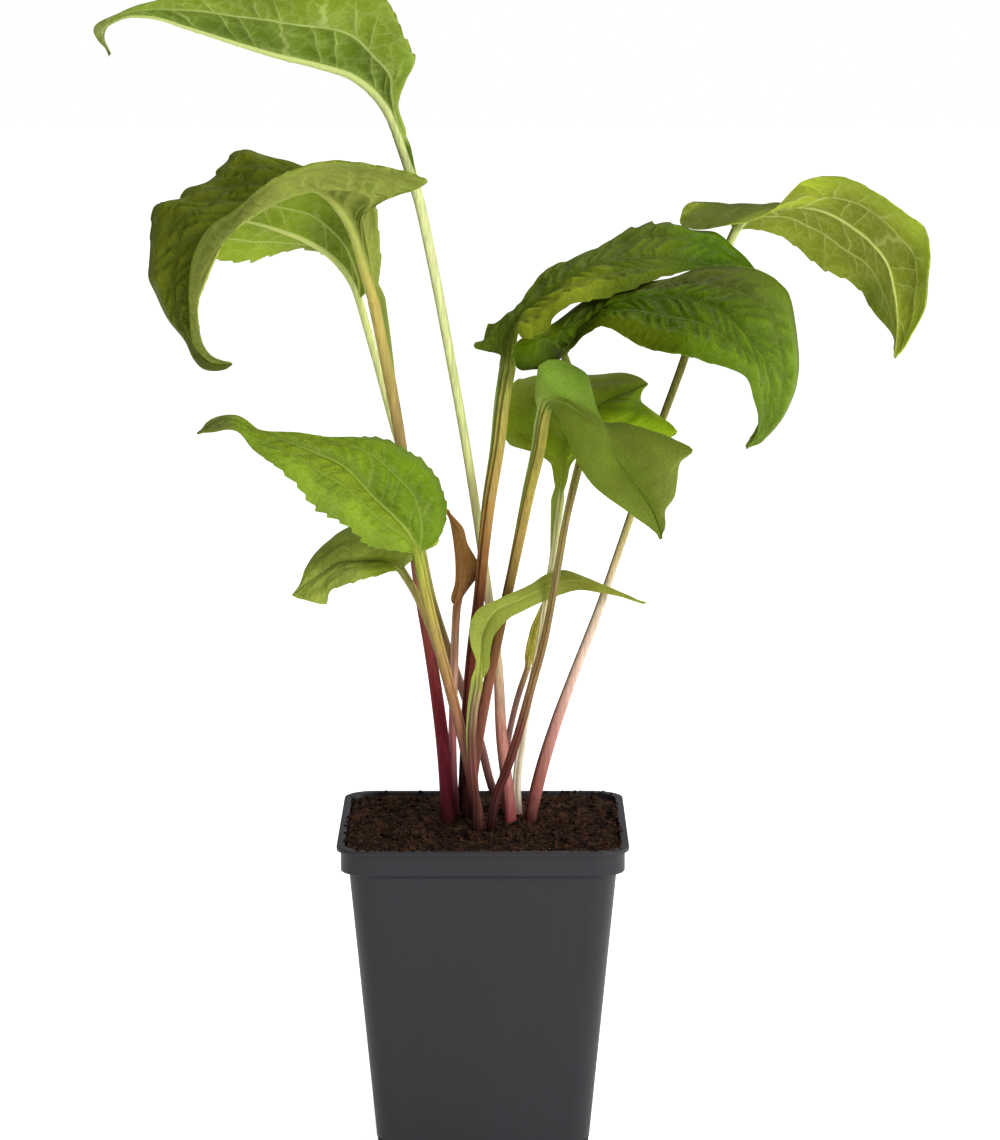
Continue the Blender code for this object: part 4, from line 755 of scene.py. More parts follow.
def leaf_half(leaf, look, number, line, generator):
    """One half of a leaf, left for number 0 and right for 1, row by row: its width, the
    direction to its margin, its normal, its ripples and its teeth."""
    rows = line.stalk_count
    margin = (leaf["midrib"][0],) + leaf[("left", "right")[number]] + (leaf["midrib"][-1],)
    margin = smooth_route(margin, line.blade_count)
    edge = margin - line.centre[rows:]
    size = np.linalg.norm(edge, axis=1)
    base_width = leaf["stalk"][-1][3] * BLADE_BASE_SHARE
    first = int(np.argmax(size > BASE_CLEARANCE * base_width))
    forward = line.direction[rows + first]
    outward = unit(edge[first] - forward * (edge[first] @ forward))
    edge = edge + outward * np.clip(base_width - size, 0.0, None)[:, None]
    width = np.concatenate((np.zeros(rows), np.linalg.norm(edge, axis=1)))
    stalk_direction = line.direction[:rows]
    stalk_edge = outward - stalk_direction * (stalk_direction @ outward)[:, None]
    edge = np.concatenate((unit(stalk_edge), unit(edge)))
    edge[-1] = edge[-2]
    half = SimpleNamespace(sign=(-1.0, 1.0)[number], bulge=leaf["bulge"][number], edge=edge)
    half.width = np.maximum(width, line.radius + look["wing"][2 + number] * wing_growth(look, line))
    half.normal = unit(even_out(unit(np.cross(line.direction, edge) * -half.sign), line.spread))
    wide = smooth_step(half.width, *TOOTHED_WIDTHS) * (line.along > 0.0)
    half.wave = leaf["tooth"] * np.sin(line.along * leaf["rows"] * RIPPLE_STEP) * wide
    teeth = tooth_profile(run_lengths(margin), look["teeth"], generator)
    teeth = np.concatenate((np.zeros(rows), teeth)) * wide * look["notch"][number]
    half.teeth = teeth * (1.0 - smooth_step(line.along, *TOOTH_FADE))
    half.flare = look["flare"][number]
    return half


def half_surface(look, line, half, place, quilt_scale, generator):
    """The top and the underside of one half of a leaf, the values that its surface carries, and
    the distance from the midrib. The place runs from 0 at the midrib to 1 at the margin."""
    r = line.radius[:, None]
    w = half.width[:, None]
    on_blade = line.along[:, None] > 0.0
    rib_share = np.clip(r / w, RIB_COLUMN_SHARE, 1.0)
    inner = r * np.sin(0.5 * math.pi * np.minimum(place / rib_share, 1.0))
    beyond = (place - rib_share) / np.maximum(1.0 - rib_share, SMALLEST_SHARE)
    outer = r + (w - r) * np.clip(beyond, 0.0, 1.0)
    x = np.where(place <= rib_share, inner, outer)
    share = x / w
    lateral, rung_in, rung_out, outward = vein_fields(
        look, half.width, line.radius, x, line.blade_travel, generator)
    rung_gap = np.where(lateral < 0.0, rung_distance(rung_in, look["rungs"]),
                        rung_distance(rung_out, look["rungs"]))
    rung_gap = rung_gap + RUNG_FADE * smooth_step(outward, *RUNG_FADE_BAND)
    held_down = RUNG_HOLD[0] * rung_gap + RUNG_HOLD[1]
    nearest = np.minimum(np.minimum(x - r, np.abs(lateral)), held_down)
    blade = smooth_step(line.blade_travel, *BLADE_ONSET)[:, None]
    rim = smooth_step(w - x, 0.0, RIM_RUN)
    swell = 1.0 - np.exp(-(np.clip(nearest, 0.0, None) / SWELL_WIDTH) ** 2)
    swell = swell * (RIM_SWELL[0] + RIM_SWELL[1] * rim)
    quilt = quilt_scale * look["puff"] * blade * swell
    ridge = blade * rim * (LATERAL_RIDGE * np.exp(-(lateral / LATERAL_RIDGE_WIDTH) ** 2)
                           + RUNG_RIDGE * np.exp(-(rung_gap / RUNG_RIDGE_WIDTH) ** 2))
    round_part = np.sqrt(np.clip(r * r - x * x, 0.0, None))
    flat_start = STALK_TO_BLADE_START * STALK_TO_BLADE_RUN
    f = smooth_step(line.blade_travel, flat_start, STALK_TO_BLADE_RUN)[:, None]
    sheet = SHEET_THICKNESS * np.sqrt(np.clip((w - x) / MARGIN_TAPER, 0.0, 1.0))
    groove = np.exp(-(x / (GROOVE_WIDTH_SHARE * r)) ** 2)
    lift = 4.0 * share * (1.0 - share) * half.bulge * w * on_blade
    lift = lift + half.wave[:, None] * share**2
    high = (1.0 - f) * (round_part - GROOVE_DEPTH_SHARE * r * groove) - f * SUNK_RIB_DEPTH * groove
    depth = (1.0 - f) * round_part + f * (sheet + RIB_DEPTH_SHARE * round_part)
    depth = np.maximum(depth, np.minimum(sheet, w - x))
    m = smooth_step(x / r, 0.0, FOLD_WIDTH)[..., None]
    sideways = (1.0 - m) * line.across[:, None, :] * half.sign + m * half.edge[:, None, :]
    normal = unit((1.0 - m) * line.up[:, None, :] + m * half.normal[:, None, :])
    spine = line.centre[:, None, :] + sideways * x[..., None]
    tooth_aim = half.edge + TOOTH_LEAN * line.direction + half.flare * half.normal
    spine += (share**TOOTH_SHARPNESS * half.teeth[:, None])[..., None] * tooth_aim[:, None, :]
    top = spine + normal * (high + lift + quilt)[..., None]
    under = spine + normal * (lift + quilt - depth - ridge * (share < RIDGED_SHARE))[..., None]
    under = np.where(share[..., None] > SEAM_SHARE, top, under)
    values = {
        "core": x / r, "rib": x - r, "lateral": lateral, "rung_in": rung_in, "rung_out": rung_out,
        "margin": w - x, "across": half.sign * share, "swell": swell,
        "blade": np.maximum(blade, smooth_step(x - r, *LOBE_FADE) * on_blade),
    }
    return top, under, values, x


def leaf_surface(leaf, look, quilt_scale, seed):
    """Points and values of a whole leaf, row by row, on a loop over its top and back under it."""
    generator = np.random.default_rng(seed)
    line = leaf_line(leaf, look)
    halves = [leaf_half(leaf, look, number, line, generator) for number in (0, 1)]
    across = unit(even_out(halves[1].edge - halves[0].edge, line.spread))
    upset = np.sum(across * line.direction, axis=1, keepdims=True)
    line.across = unit(across - line.direction * upset)
    line.up = np.cross(line.across, line.direction)
    place = np.linspace(-1.0, 1.0, 2 * look["columns"] + 1)
    shape = (len(line.centre), len(place))
    top = np.zeros(shape + (3,))
    under = np.zeros(shape + (3,))
    metric = np.zeros(shape + (2,))
    values = {}
    for half, chosen in zip(halves, (place <= 0.0, place > 0.0)):
        top[:, chosen], under[:, chosen], held, x = half_surface(
            look, line, half, np.abs(place[chosen])[None, :], quilt_scale, generator)
        for key, value in held.items():
            values.setdefault(key, np.zeros(shape))[:, chosen] = value
        metric[:, chosen, 0] = half.sign * x
        metric[:, chosen, 1] = line.blade_travel[:, None]
    for surface in (top, under):
        surface[0] = line.centre[0]
        surface[-1] = line.centre[-1]
    points = np.concatenate((top, under[:, ::-1]), axis=1)
    values = {key: np.concatenate((value, value[:, ::-1]), axis=1) for key, value in values.items()}
    values["side"] = np.concatenate((np.ones(shape), np.zeros(shape)), axis=1)
    values["along"] = np.repeat(line.along[:, None], points.shape[1], axis=1)
    metric = np.concatenate((metric, metric[:, ::-1]), axis=1)
    return points, values, metric


def add_grid(name, rows, columns):
    """A flat grid, with the row and the column of each of its points."""
    deselect_all()
    bpy.ops.mesh.primitive_grid_add(x_subdivisions=columns - 1, y_subdivisions=rows - 1, size=1.0)
    piece = bpy.context.object
    piece.name = name
    piece.data.name = name
    if len(piece.data.vertices) != rows * columns:
        raise RuntimeError("the grid has " + str(len(piece.data.vertices)) + " points")
    places = np.zeros(len(piece.data.vertices) * 3)
    piece.data.vertices.foreach_get("co", places)
    places = places.reshape(-1, 3) + 0.5
    column = np.rint(places[:, 0] * (columns - 1)).astype(int)
    row = np.rint(places[:, 1] * (rows - 1)).astype(int)
    return piece, row, column


def close_mesh(piece):
    """Merge points that coincide and turn every face outward."""
    bpy.context.view_layer.objects.active = piece
    piece.select_set(True)
    bpy.ops.object.mode_set(mode="EDIT")
    bpy.ops.mesh.select_all(action="SELECT")
    bpy.ops.mesh.remove_doubles(threshold=MERGE_DISTANCE)
    bpy.ops.mesh.normals_make_consistent(inside=False)
    bpy.ops.object.mode_set(mode="OBJECT")


def add_leaf(name, leaf, look, quilt_scale, seed):
    """One leaf: its stalk and its blade as one closed piece."""
    points, values, metric = leaf_surface(leaf, look, quilt_scale, seed)
    rows, columns = points.shape[:2]
    piece, row, column = add_grid(name, rows, columns)
    mesh = piece.data
    mesh.vertices.foreach_set("co", (points[row, column] * MM).astype(np.float32).ravel())
    for key, value in values.items():
        attribute = mesh.attributes.new(key, "FLOAT", "POINT")
        attribute.data.foreach_set("value", value[row, column].astype(np.float32))
    while mesh.uv_layers:
        mesh.uv_layers.remove(mesh.uv_layers[0])
    layer = mesh.uv_layers.new(name="flat")
    corner = np.zeros(len(mesh.loops), dtype=np.int32)
    mesh.loops.foreach_get("vertex_index", corner)
    flat = metric[row, column][corner] / METRIC_UV_SPAN
    layer.data.foreach_set("uv", flat.astype(np.float32).ravel())
    mesh.update()
    close_mesh(piece)
    bpy.ops.object.shade_smooth_by_angle(angle=math.radians(LEAF_SMOOTH_ANGLE))
    return piece


class NodeChain:
    """A short way of adding shader nodes to one tree."""

    def __init__(self, tree):
        self.tree = tree

    def add(self, kind, settings=None, **inputs):
        """Add a node, set its own values and then set or link its inputs by name."""
        node = self.tree.nodes.new(kind)
        for key, value in (settings or {}).items():
            setattr(node, key, value)
        for key, value in inputs.items():
            self.put(node, key.replace("_", " "), value)
        return node

    def put(self, node, key, value):
        """Set or link one input, named or numbered."""
        socket = node.inputs[int(key)] if key.isdigit() else node.inputs[key]
        if isinstance(value, bpy.types.NodeSocket):
            self.tree.links.new(value, socket)
        else:
            socket.default_value = value

    def math(self, operation, first, second=0.0):
        """One arithmetic step."""
        node = self.tree.nodes.new("ShaderNodeMath")
        node.operation = operation
        self.put(node, "0", first)
        self.put(node, "1", second)
        return node.outputs[0]

    def times(self, first, second):
        """Multiply two values."""
        return self.math("MULTIPLY", first, second)

    def plus(self, first, second):
        """Add two values."""
        return self.math("ADD", first, second)

    def less(self, first, second):
        """Take the second value from the first."""
        return self.math("SUBTRACT", first, second)

    def mix(self, share, first, second, blend="MIX"):
        """Mix two colours."""
        node = self.tree.nodes.new("ShaderNodeMix")
        node.data_type = "RGBA"
        node.blend_type = blend
        self.put(node, "0", share)
        self.put(node, "6", first)
        self.put(node, "7", second)
        return node.outputs[2]

    def tint(self, share, colour, tone):
        """Multiply a colour by a tone, as far as the share says."""
        return self.mix(share, colour, self.mix(1.0, colour, tone, "MULTIPLY"))

    def ramp(self, value, low, high, start=0.0, end=1.0):
        """Rise smoothly from start at low to end at high."""
        node = self.tree.nodes.new("ShaderNodeMapRange")
        node.interpolation_type = "SMOOTHSTEP"
        for key, given in (("0", value), ("1", low), ("2", high), ("3", start), ("4", end)):
            self.put(node, key, given)
        return node.outputs[0]

    def vector(self, operation, first, second):
        """One step with vectors; the second value of a scaling is a number."""
        node = self.tree.nodes.new("ShaderNodeVectorMath")
        node.operation = operation
        self.put(node, "0", first)
        self.put(node, "3" if operation == "SCALE" else "1", second)
        return node.outputs[0]

    def grey(self, value):
        """A grey as light as a value."""
        node = self.tree.nodes.new("ShaderNodeCombineColor")
        for key in ("0", "1", "2"):
            self.put(node, key, value)
        return node.outputs[0]

    def attribute(self, name):
        """A value stored on the piece."""
        node = self.tree.nodes.new("ShaderNodeAttribute")
        node.attribute_name = name
        return node.outputs["Fac"]

    def clouds(self, place, scale, detail, **more):
        """Cloudy values round a half."""
        noisy = self.add("ShaderNodeTexNoise", Vector=place, Scale=scale, Detail=detail, **more)
        return noisy.outputs["Fac"]

    def drawn_out(self, place):
        """Places squeezed along Z, so that what is laid on them runs in upright streaks."""
        mapping = self.add("ShaderNodeMapping", Vector=place)
        mapping.inputs["Scale"].default_value = (1.0, 1.0, 0.05)
        return mapping.outputs[0]


def new_group(name, inputs, outputs):
    """An empty node group with its sockets."""
    group = bpy.data.node_groups.new(name, "ShaderNodeTree")
    for label, kind in inputs:
        group.interface.new_socket(name=label, in_out="INPUT", socket_type=kind)
    for label, kind in outputs:
        group.interface.new_socket(name=label, in_out="OUTPUT", socket_type=kind)
    start = group.nodes.new("NodeGroupInput")
    end = group.nodes.new("NodeGroupOutput")
    return NodeChain(group), start.outputs, end.inputs


def vein_masks(chain, flat, spacing):
    """Lines of the side veins and of the lateral veins."""
    lateral = chain.attribute("lateral")
    shift = chain.times(chain.less(chain.clouds(flat, 16.0, 2.0), 0.5), 0.4)

    def rung_line(name):
        count = chain.math("FRACT", chain.plus(chain.attribute(name), shift))
        gap = chain.math("ABSOLUTE", chain.less(count, 0.5))
        return chain.ramp(chain.times(gap, spacing), 0.1, 0.46, 1.0, 0.0)

    fading = chain.ramp(chain.attribute("margin"), 1.5, 9.0)
    inner = chain.times(rung_line("rung_in"), chain.ramp(lateral, -0.4, 0.1, 1.0, 0.0))
    outer = chain.times(rung_line("rung_out"), chain.ramp(lateral, -0.1, 0.4))
    rungs = chain.math("MAXIMUM", inner, chain.times(outer, fading))
    line = chain.ramp(chain.math("ABSOLUTE", lateral), 0.15, 0.55, 1.0, 0.0)
    line = chain.times(line, chain.ramp(chain.attribute("along"), 0.6, 0.95, 1.0, 0.0))
    return rungs, line


def net_masks(chain, flat, cells):
    """The net of fine veins: its lines, the domes between them, and the lines of a finer net."""
    sway = chain.add("ShaderNodeTexNoise", Vector=flat, Scale=SWAY_SCALE, Detail=2.0).outputs["Color"]
    sway = chain.vector("SCALE", chain.vector("SUBTRACT", sway, (0.5,) * 3), 0.05)
    bent = chain.vector("ADD", flat, sway)
    edge, fine_edge = (
        chain.add("ShaderNodeTexVoronoi", {"feature": "DISTANCE_TO_EDGE"}, Vector=bent,
                  Scale=scale).outputs["Distance"]
        for scale in (cells, FINE_CELLS))
    lines = chain.ramp(edge, 0.015, 0.1, 1.0, 0.0)
    domes = chain.ramp(edge, 0.0, 0.42)
    return lines, domes, chain.ramp(fine_edge, 0.02, 0.16, 1.0, 0.0)


def stalk_look(chain, given, place, core, side):
    """The stalk's colour, with its streaks, painted light and shade on its flanks by the way they
    face, painted shade in the crease along its groove, and the streaks alone."""
    streaks = chain.clouds(chain.drawn_out(place), STALK_STREAK_SCALE, 3.0)
    streaks = chain.ramp(streaks, 0.3, 0.7, 0.8, 1.13)
    # Painted light and shade: each flank of the stalk is lightened or darkened by whether it faces left or
    # right.
    facing = chain.add("ShaderNodeTexCoord").outputs["Normal"]
    facing = chain.add("ShaderNodeSeparateXYZ", Vector=facing).outputs["X"]
    flank_light = chain.times(chain.ramp(facing, -0.95, -0.4, given["Left"], 1.0),
                        chain.ramp(facing, 0.4, 0.95, 1.0, given["Right"]))
    colour = chain.mix(1.0, given["Stalk"], chain.grey(chain.times(streaks, flank_light)), "MULTIPLY")
    # Painted shade: the top side of the stalk darkens along its groove.
    crease_shade = chain.times(chain.ramp(core, 0.08, 0.3, 0.6, 0.0), side)
    return chain.tint(crease_shade, colour, CREASE_SHADE_TONE), streaks


def leaf_group():
    """Colour, roughness and relief of leaf tissue with its veins, and of the stalk below it. The colour
    carries painted shade in the tissue's valleys and hollows, and painted light and shade on the
    stalk. The relief is in millimetres."""
    group = bpy.data.node_groups.get("leaf_tissue")
    if group:
        return group
    inputs = [(label, "NodeSocketColor") for label in
              ("Top", "Underside", "Top Vein", "Underside Vein", "Stalk", "Wing")]
    inputs += [(label, "NodeSocketFloat") for label in
               ("Gloss", "Quilt", "Puff", "Cells", "Net", "Veins", "Spacing", "Left", "Right", "Leaving")]
    outputs = [("Color", "NodeSocketColor"), ("Roughness", "NodeSocketFloat"), ("Height", "NodeSocketFloat")]
    chain, given, wanted = new_group("leaf_tissue", inputs, outputs)
    flat = chain.add("ShaderNodeUVMap", {"uv_map": "flat"}).outputs[0]
    place = chain.add("ShaderNodeTexCoord").outputs["Object"]
    side, core, blade, along, swell = (
        chain.attribute(name) for name in ("side", "core", "blade", "along", "swell"))
    below = chain.less(1.0, side)
    bare = chain.less(1.0, blade)
    blotch = chain.clouds(place, BLOTCH_SCALE, 3.0)
    grain = chain.clouds(flat, GRAIN_SCALE, 4.0)
    net_line, dome, fine_line = net_masks(chain, flat, given["Cells"])
    rungs, lateral_line = vein_masks(chain, flat, given["Spacing"])
    lines = chain.math("MAXIMUM", chain.times(rungs, 0.7), lateral_line)
    lines = chain.times(lines, given["Veins"])
    net_line = chain.times(net_line, given["Net"])
    lasting = chain.ramp(along, 0.7, 0.95, 1.0, 0.2)
    groove_line = chain.times(chain.ramp(core, 0.12, 0.5, 0.55, 0.0), lasting)
    rib_line = chain.times(chain.ramp(core, 0.9, 1.2, 0.95, 0.0), lasting)
    light = chain.times(chain.ramp(blotch, 0.3, 0.7, 0.85, 1.14), chain.ramp(grain, 0.25, 0.75, 0.9, 1.1))
    grey = chain.grey(light)
    # Painted shade: the top side darkens in the valleys between the small cells and along the main veins.
    valley_shade = chain.times(chain.less(1.0, dome), chain.times(given["Quilt"], 0.55))
    trough_shade = chain.times(chain.less(1.0, swell), chain.times(given["Puff"], 0.34))
    valley_shade = chain.math("MAXIMUM", valley_shade, trough_shade)
    stalk, streaks = stalk_look(chain, given, place, core, side)
    leaving = chain.ramp(along, 0.0, given["Leaving"])

    top = chain.mix(1.0, given["Top"], grey, "MULTIPLY")
    top = chain.tint(valley_shade, top, VALLEY_SHADE_TONE)
    top = chain.mix(chain.times(fine_line, 0.1), top, FINE_LINE_COLOUR)
    for share in (net_line, lines):
        top = chain.mix(share, top, given["Top Vein"])
    top = chain.mix(groove_line, top, chain.mix(leaving, stalk, given["Top Vein"]))

    under = chain.mix(1.0, given["Underside"], grey, "MULTIPLY")
    # Painted shade: the underside darkens in the hollows between the domes near the midrib.
    hollow_shade = chain.times(chain.ramp(chain.attribute("rib"), 0.3, 4.5, 0.5, 0.0), swell)
    under = chain.tint(hollow_shade, under, HOLLOW_SHADE_TONE)
    for share in (chain.times(valley_shade, 0.3), chain.times(fine_line, 0.06), net_line, lines):
        under = chain.mix(share, under, given["Underside Vein"])
    under = chain.mix(rib_line, under, chain.mix(leaving, stalk, given["Underside Vein"]))

    on_wing = chain.ramp(chain.attribute("rib"), 0.05, 0.3)
    shown_stalk = chain.mix(on_wing, stalk, given["Wing"])
    chain.tree.links.new(chain.mix(bare, chain.mix(side, under, top), shown_stalk), wanted["Color"])
    rough = chain.plus(given["Gloss"], chain.ramp(grain, 0.3, 0.7, -0.06, 0.08))
    rough = chain.plus(rough, chain.times(below, 0.1))
    chain.tree.links.new(chain.plus(rough, chain.times(bare, -0.12)), wanted["Roughness"])

    lift = chain.times(chain.times(dome, given["Quilt"]), chain.ramp(side, 0.0, 1.0, -0.6, 1.0))
    away = chain.times(chain.ramp(core, 1.0, 2.2), chain.ramp(chain.attribute("margin"), 0.0, 1.2))
    height = chain.plus(chain.times(lift, away), chain.times(fine_line, -0.05))
    height = chain.times(chain.plus(height, chain.times(grain, 0.08)), blade)
    height = chain.plus(height, chain.times(chain.times(streaks, 0.12), bare))
    chain.tree.links.new(height, wanted["Height"])
    return chain.tree


def add_patches(chain, side, colour, patches):
    """A colour with softly bounded patches of other colours over it."""
    across = chain.attribute("across")
    along = chain.attribute("along")
    for chosen, patch, sideways, lengthways in patches:
        if chosen == side:
            share = chain.times(chain.ramp(across, *sideways), chain.ramp(along, *lengthways))
            colour = chain.mix(share, colour, linear(patch))
    return colour


def new_surface(name, **plain):
    """A material, its shader with the plain values set, and a chain for its nodes."""
    material = bpy.data.materials.new(name)
    material.use_nodes = True
    shader = material.node_tree.nodes["Principled BSDF"]
    chain = NodeChain(material.node_tree)
    for key, value in plain.items():
        chain.put(shader, key.replace("_", " "), value)
    return material, shader, chain


def dress(chain, shader, colour, height, strength, distance):
    """Give a shader its colour and its relief."""
    bump = chain.add("ShaderNodeBump", Height=height, Strength=strength, Distance=distance)
    chain.put(shader, "Base Color", colour)
    chain.put(shader, "Normal", bump.outputs[0])


def stalk_colours(chain, levels):
    """The stalk's colour at each height, from a list of (height in millimetres, colour)."""
    place = chain.add("ShaderNodeTexCoord").outputs["Object"]
    height = chain.add("ShaderNodeSeparateXYZ", Vector=place).outputs["Z"]
    low = levels[0][0] * MM
    high = levels[-1][0] * MM
    ramp = chain.add("ShaderNodeValToRGB", Fac=chain.math("DIVIDE", chain.less(height, low), high - low))
    stops = ramp.color_ramp.elements
    for number, (level, colour) in enumerate(levels):
        position = (level * MM - low) / (high - low)
        stop = stops[number] if number < 2 else stops.new(position)
        stop.position = position
        stop.color = linear(colour)
    return ramp.outputs["Color"]


def leaf_material(name, look, tint):
    """The surface of one leaf."""
    material, shader, chain = new_surface(name, Specular_IOR_Level=look["shine"], **LEAF_DEPTH)
    group = chain.add("ShaderNodeGroup", {"node_tree": leaf_group()})
    top = add_patches(chain, "top", linear(look["top"]), look["patches"])
    given = {
        "Top": chain.mix(1.0, top, tuple(tint) + (1.0,), "MULTIPLY"),
        "Underside": add_patches(chain, "under", linear(look["under"]), look["patches"]),
        "Top Vein": linear(look["vein_top"]),
        "Underside Vein": linear(look["vein_under"]),
        "Stalk": stalk_colours(chain, look["stalk"]),
        "Wing": linear(look["wing_colour"]),
        "Cells": METRIC_UV_SPAN / look["cell"],
        "Spacing": look["rungs"],
        # Painted light and shade on the stalk's flanks, by which way each flank faces.
        "Left": look["edges"][0],
        "Right": look["edges"][1],
    }
    for key in ("gloss", "quilt", "puff", "net", "veins", "leaving"):
        given[key.capitalize()] = look[key]
    for label, value in given.items():
        chain.put(group, label, value)
    chain.put(shader, "Roughness", group.outputs["Roughness"])
    dress(chain, shader, group.outputs["Color"], group.outputs["Height"], 1.0, MM)
    return material


def pot_material(colour, roughness):
    """Satin moulded plastic with faint draw marks."""
    material, shader, chain = new_surface("pot_plastic", Specular_IOR_Level=0.4)
    place = chain.add("ShaderNodeTexCoord").outputs["Object"]
    cloud = chain.clouds(place, 22.0, 4.0)
    streak = chain.clouds(chain.drawn_out(place), 260.0, 3.0)
    grain = chain.clouds(place, 1500.0, 2.0)
    light = chain.times(chain.ramp(cloud, 0.3, 0.7, 0.92, 1.09), chain.ramp(streak, 0.3, 0.7, 0.97, 1.04))
    tone = chain.mix(1.0, tuple(colour) + (1.0,), chain.grey(light), "MULTIPLY")
    chain.put(shader, "Roughness", chain.plus(chain.ramp(cloud, 0.3, 0.7, -0.04, 0.05), roughness))
    height = chain.plus(chain.times(grain, 0.6), chain.times(streak, 0.5))
    dress(chain, shader, tone, height, 0.12, 0.0003)
    return material


def soil_material(name, colour, dark, light):
    """Peat: dark brown, mottled, with paler fibres and reddish crumbs."""
    material, shader, chain = new_surface(name, Roughness=0.95, Specular_IOR_Level=0.12)
    place = chain.add("ShaderNodeTexCoord").outputs["Object"]
    clod = chain.clouds(place, 330.0, 5.0, Roughness=0.7)
    fibre = chain.clouds(place, 900.0, 3.0, Distortion=2.4)
    grain = chain.add("ShaderNodeTexVoronoi", Vector=place, Scale=950.0).outputs[0]
    tone = chain.mix(chain.ramp(clod, 0.4, 0.62), dark, tuple(colour) + (1.0,))
    tone = chain.mix(chain.ramp(fibre, 0.56, 0.78, 0.0, 0.75), tone, light)
    tone = chain.mix(chain.ramp(grain, 0.35, 0.7, 0.0, 0.7), tone, dark)
    dress(chain, shader, tone, chain.plus(clod, chain.times(grain, 0.5)), 0.9, 0.0012)
    return material


def floor_material(colour):
    """An even pale surface that looks lit wherever it is seen straight."""
    material, shader, chain = new_surface(
        "floor", Base_Color=tuple(colour) + (1.0,), Roughness=0.9, Specular_IOR_Level=0.1,
        Emission_Strength=1.0)
    seen = chain.add("ShaderNodeLightPath").outputs["Is Camera Ray"]
    chain.put(shader, "Emission Color", chain.mix(seen, FLOOR_GLOW_UNSEEN, FLOOR_GLOW_SEEN))
    return material


def wall_half_width(level):
    """Half the pot body's outer width at a height, along its straight taper."""
    share = level / (POT_HEIGHT - RIM_BAND_HEIGHT - RIM_SHOULDER)
    return 0.5 * (POT_BASE_WIDTH + (BODY_TOP_WIDTH - POT_BASE_WIDTH) * share)


def select_where(piece, kind, test):
    """In edit mode, select the edges or faces that pass a test."""
    bpy.ops.mesh.select_all(action="DESELECT")
    bpy.context.tool_settings.mesh_select_mode = (False, kind == "EDGE", kind == "FACE")
    shape = bmesh.from_edit_mesh(piece.data)
    for part in shape.edges if kind == "EDGE" else shape.faces:
        part.select_set(test(part))
    bmesh.update_edit_mesh(piece.data)


def is_upright(edge):
    """True for an edge that runs straight up."""
    first, second = (vert.co for vert in edge.verts)
    return abs(first.z - second.z) > UPRIGHT_RISE and (first.xy - second.xy).length < UPRIGHT_DRIFT


def grow_profile(profile, half, level):
    """Pull the selected face up or down and in or out, along a list of (half width, level)."""
    for next_half, next_level in profile:
        move = {"value": (0.0, 0.0, (next_level - level) * MM)}
        bpy.ops.mesh.extrude_region_move(TRANSFORM_OT_translate=move)
        scale = next_half / half
        bpy.ops.transform.resize(value=(scale, scale, 1.0), center_override=(0.0, 0.0, 0.0))
        half, level = next_half, next_level


def cut_round(piece, x, y, low, high, radius):
    """Cut an upright round hole."""
    deselect_all()
    bpy.ops.mesh.primitive_cylinder_add(vertices=DRAIN_SIDES, radius=radius * MM, depth=(high - low) * MM,
                                        location=(x * MM, y * MM, 0.5 * (low + high) * MM))
    cutter = bpy.context.object
    deselect_all()
    piece.select_set(True)
    bpy.context.view_layer.objects.active = piece
    hole = piece.modifiers.new("hole", "BOOLEAN")
    hole.operation = "DIFFERENCE"
    hole.solver = "EXACT"
    hole.object = cutter
    bpy.ops.object.modifier_apply(modifier=hole.name)
    bpy.data.objects.remove(cutter, do_unlink=True)


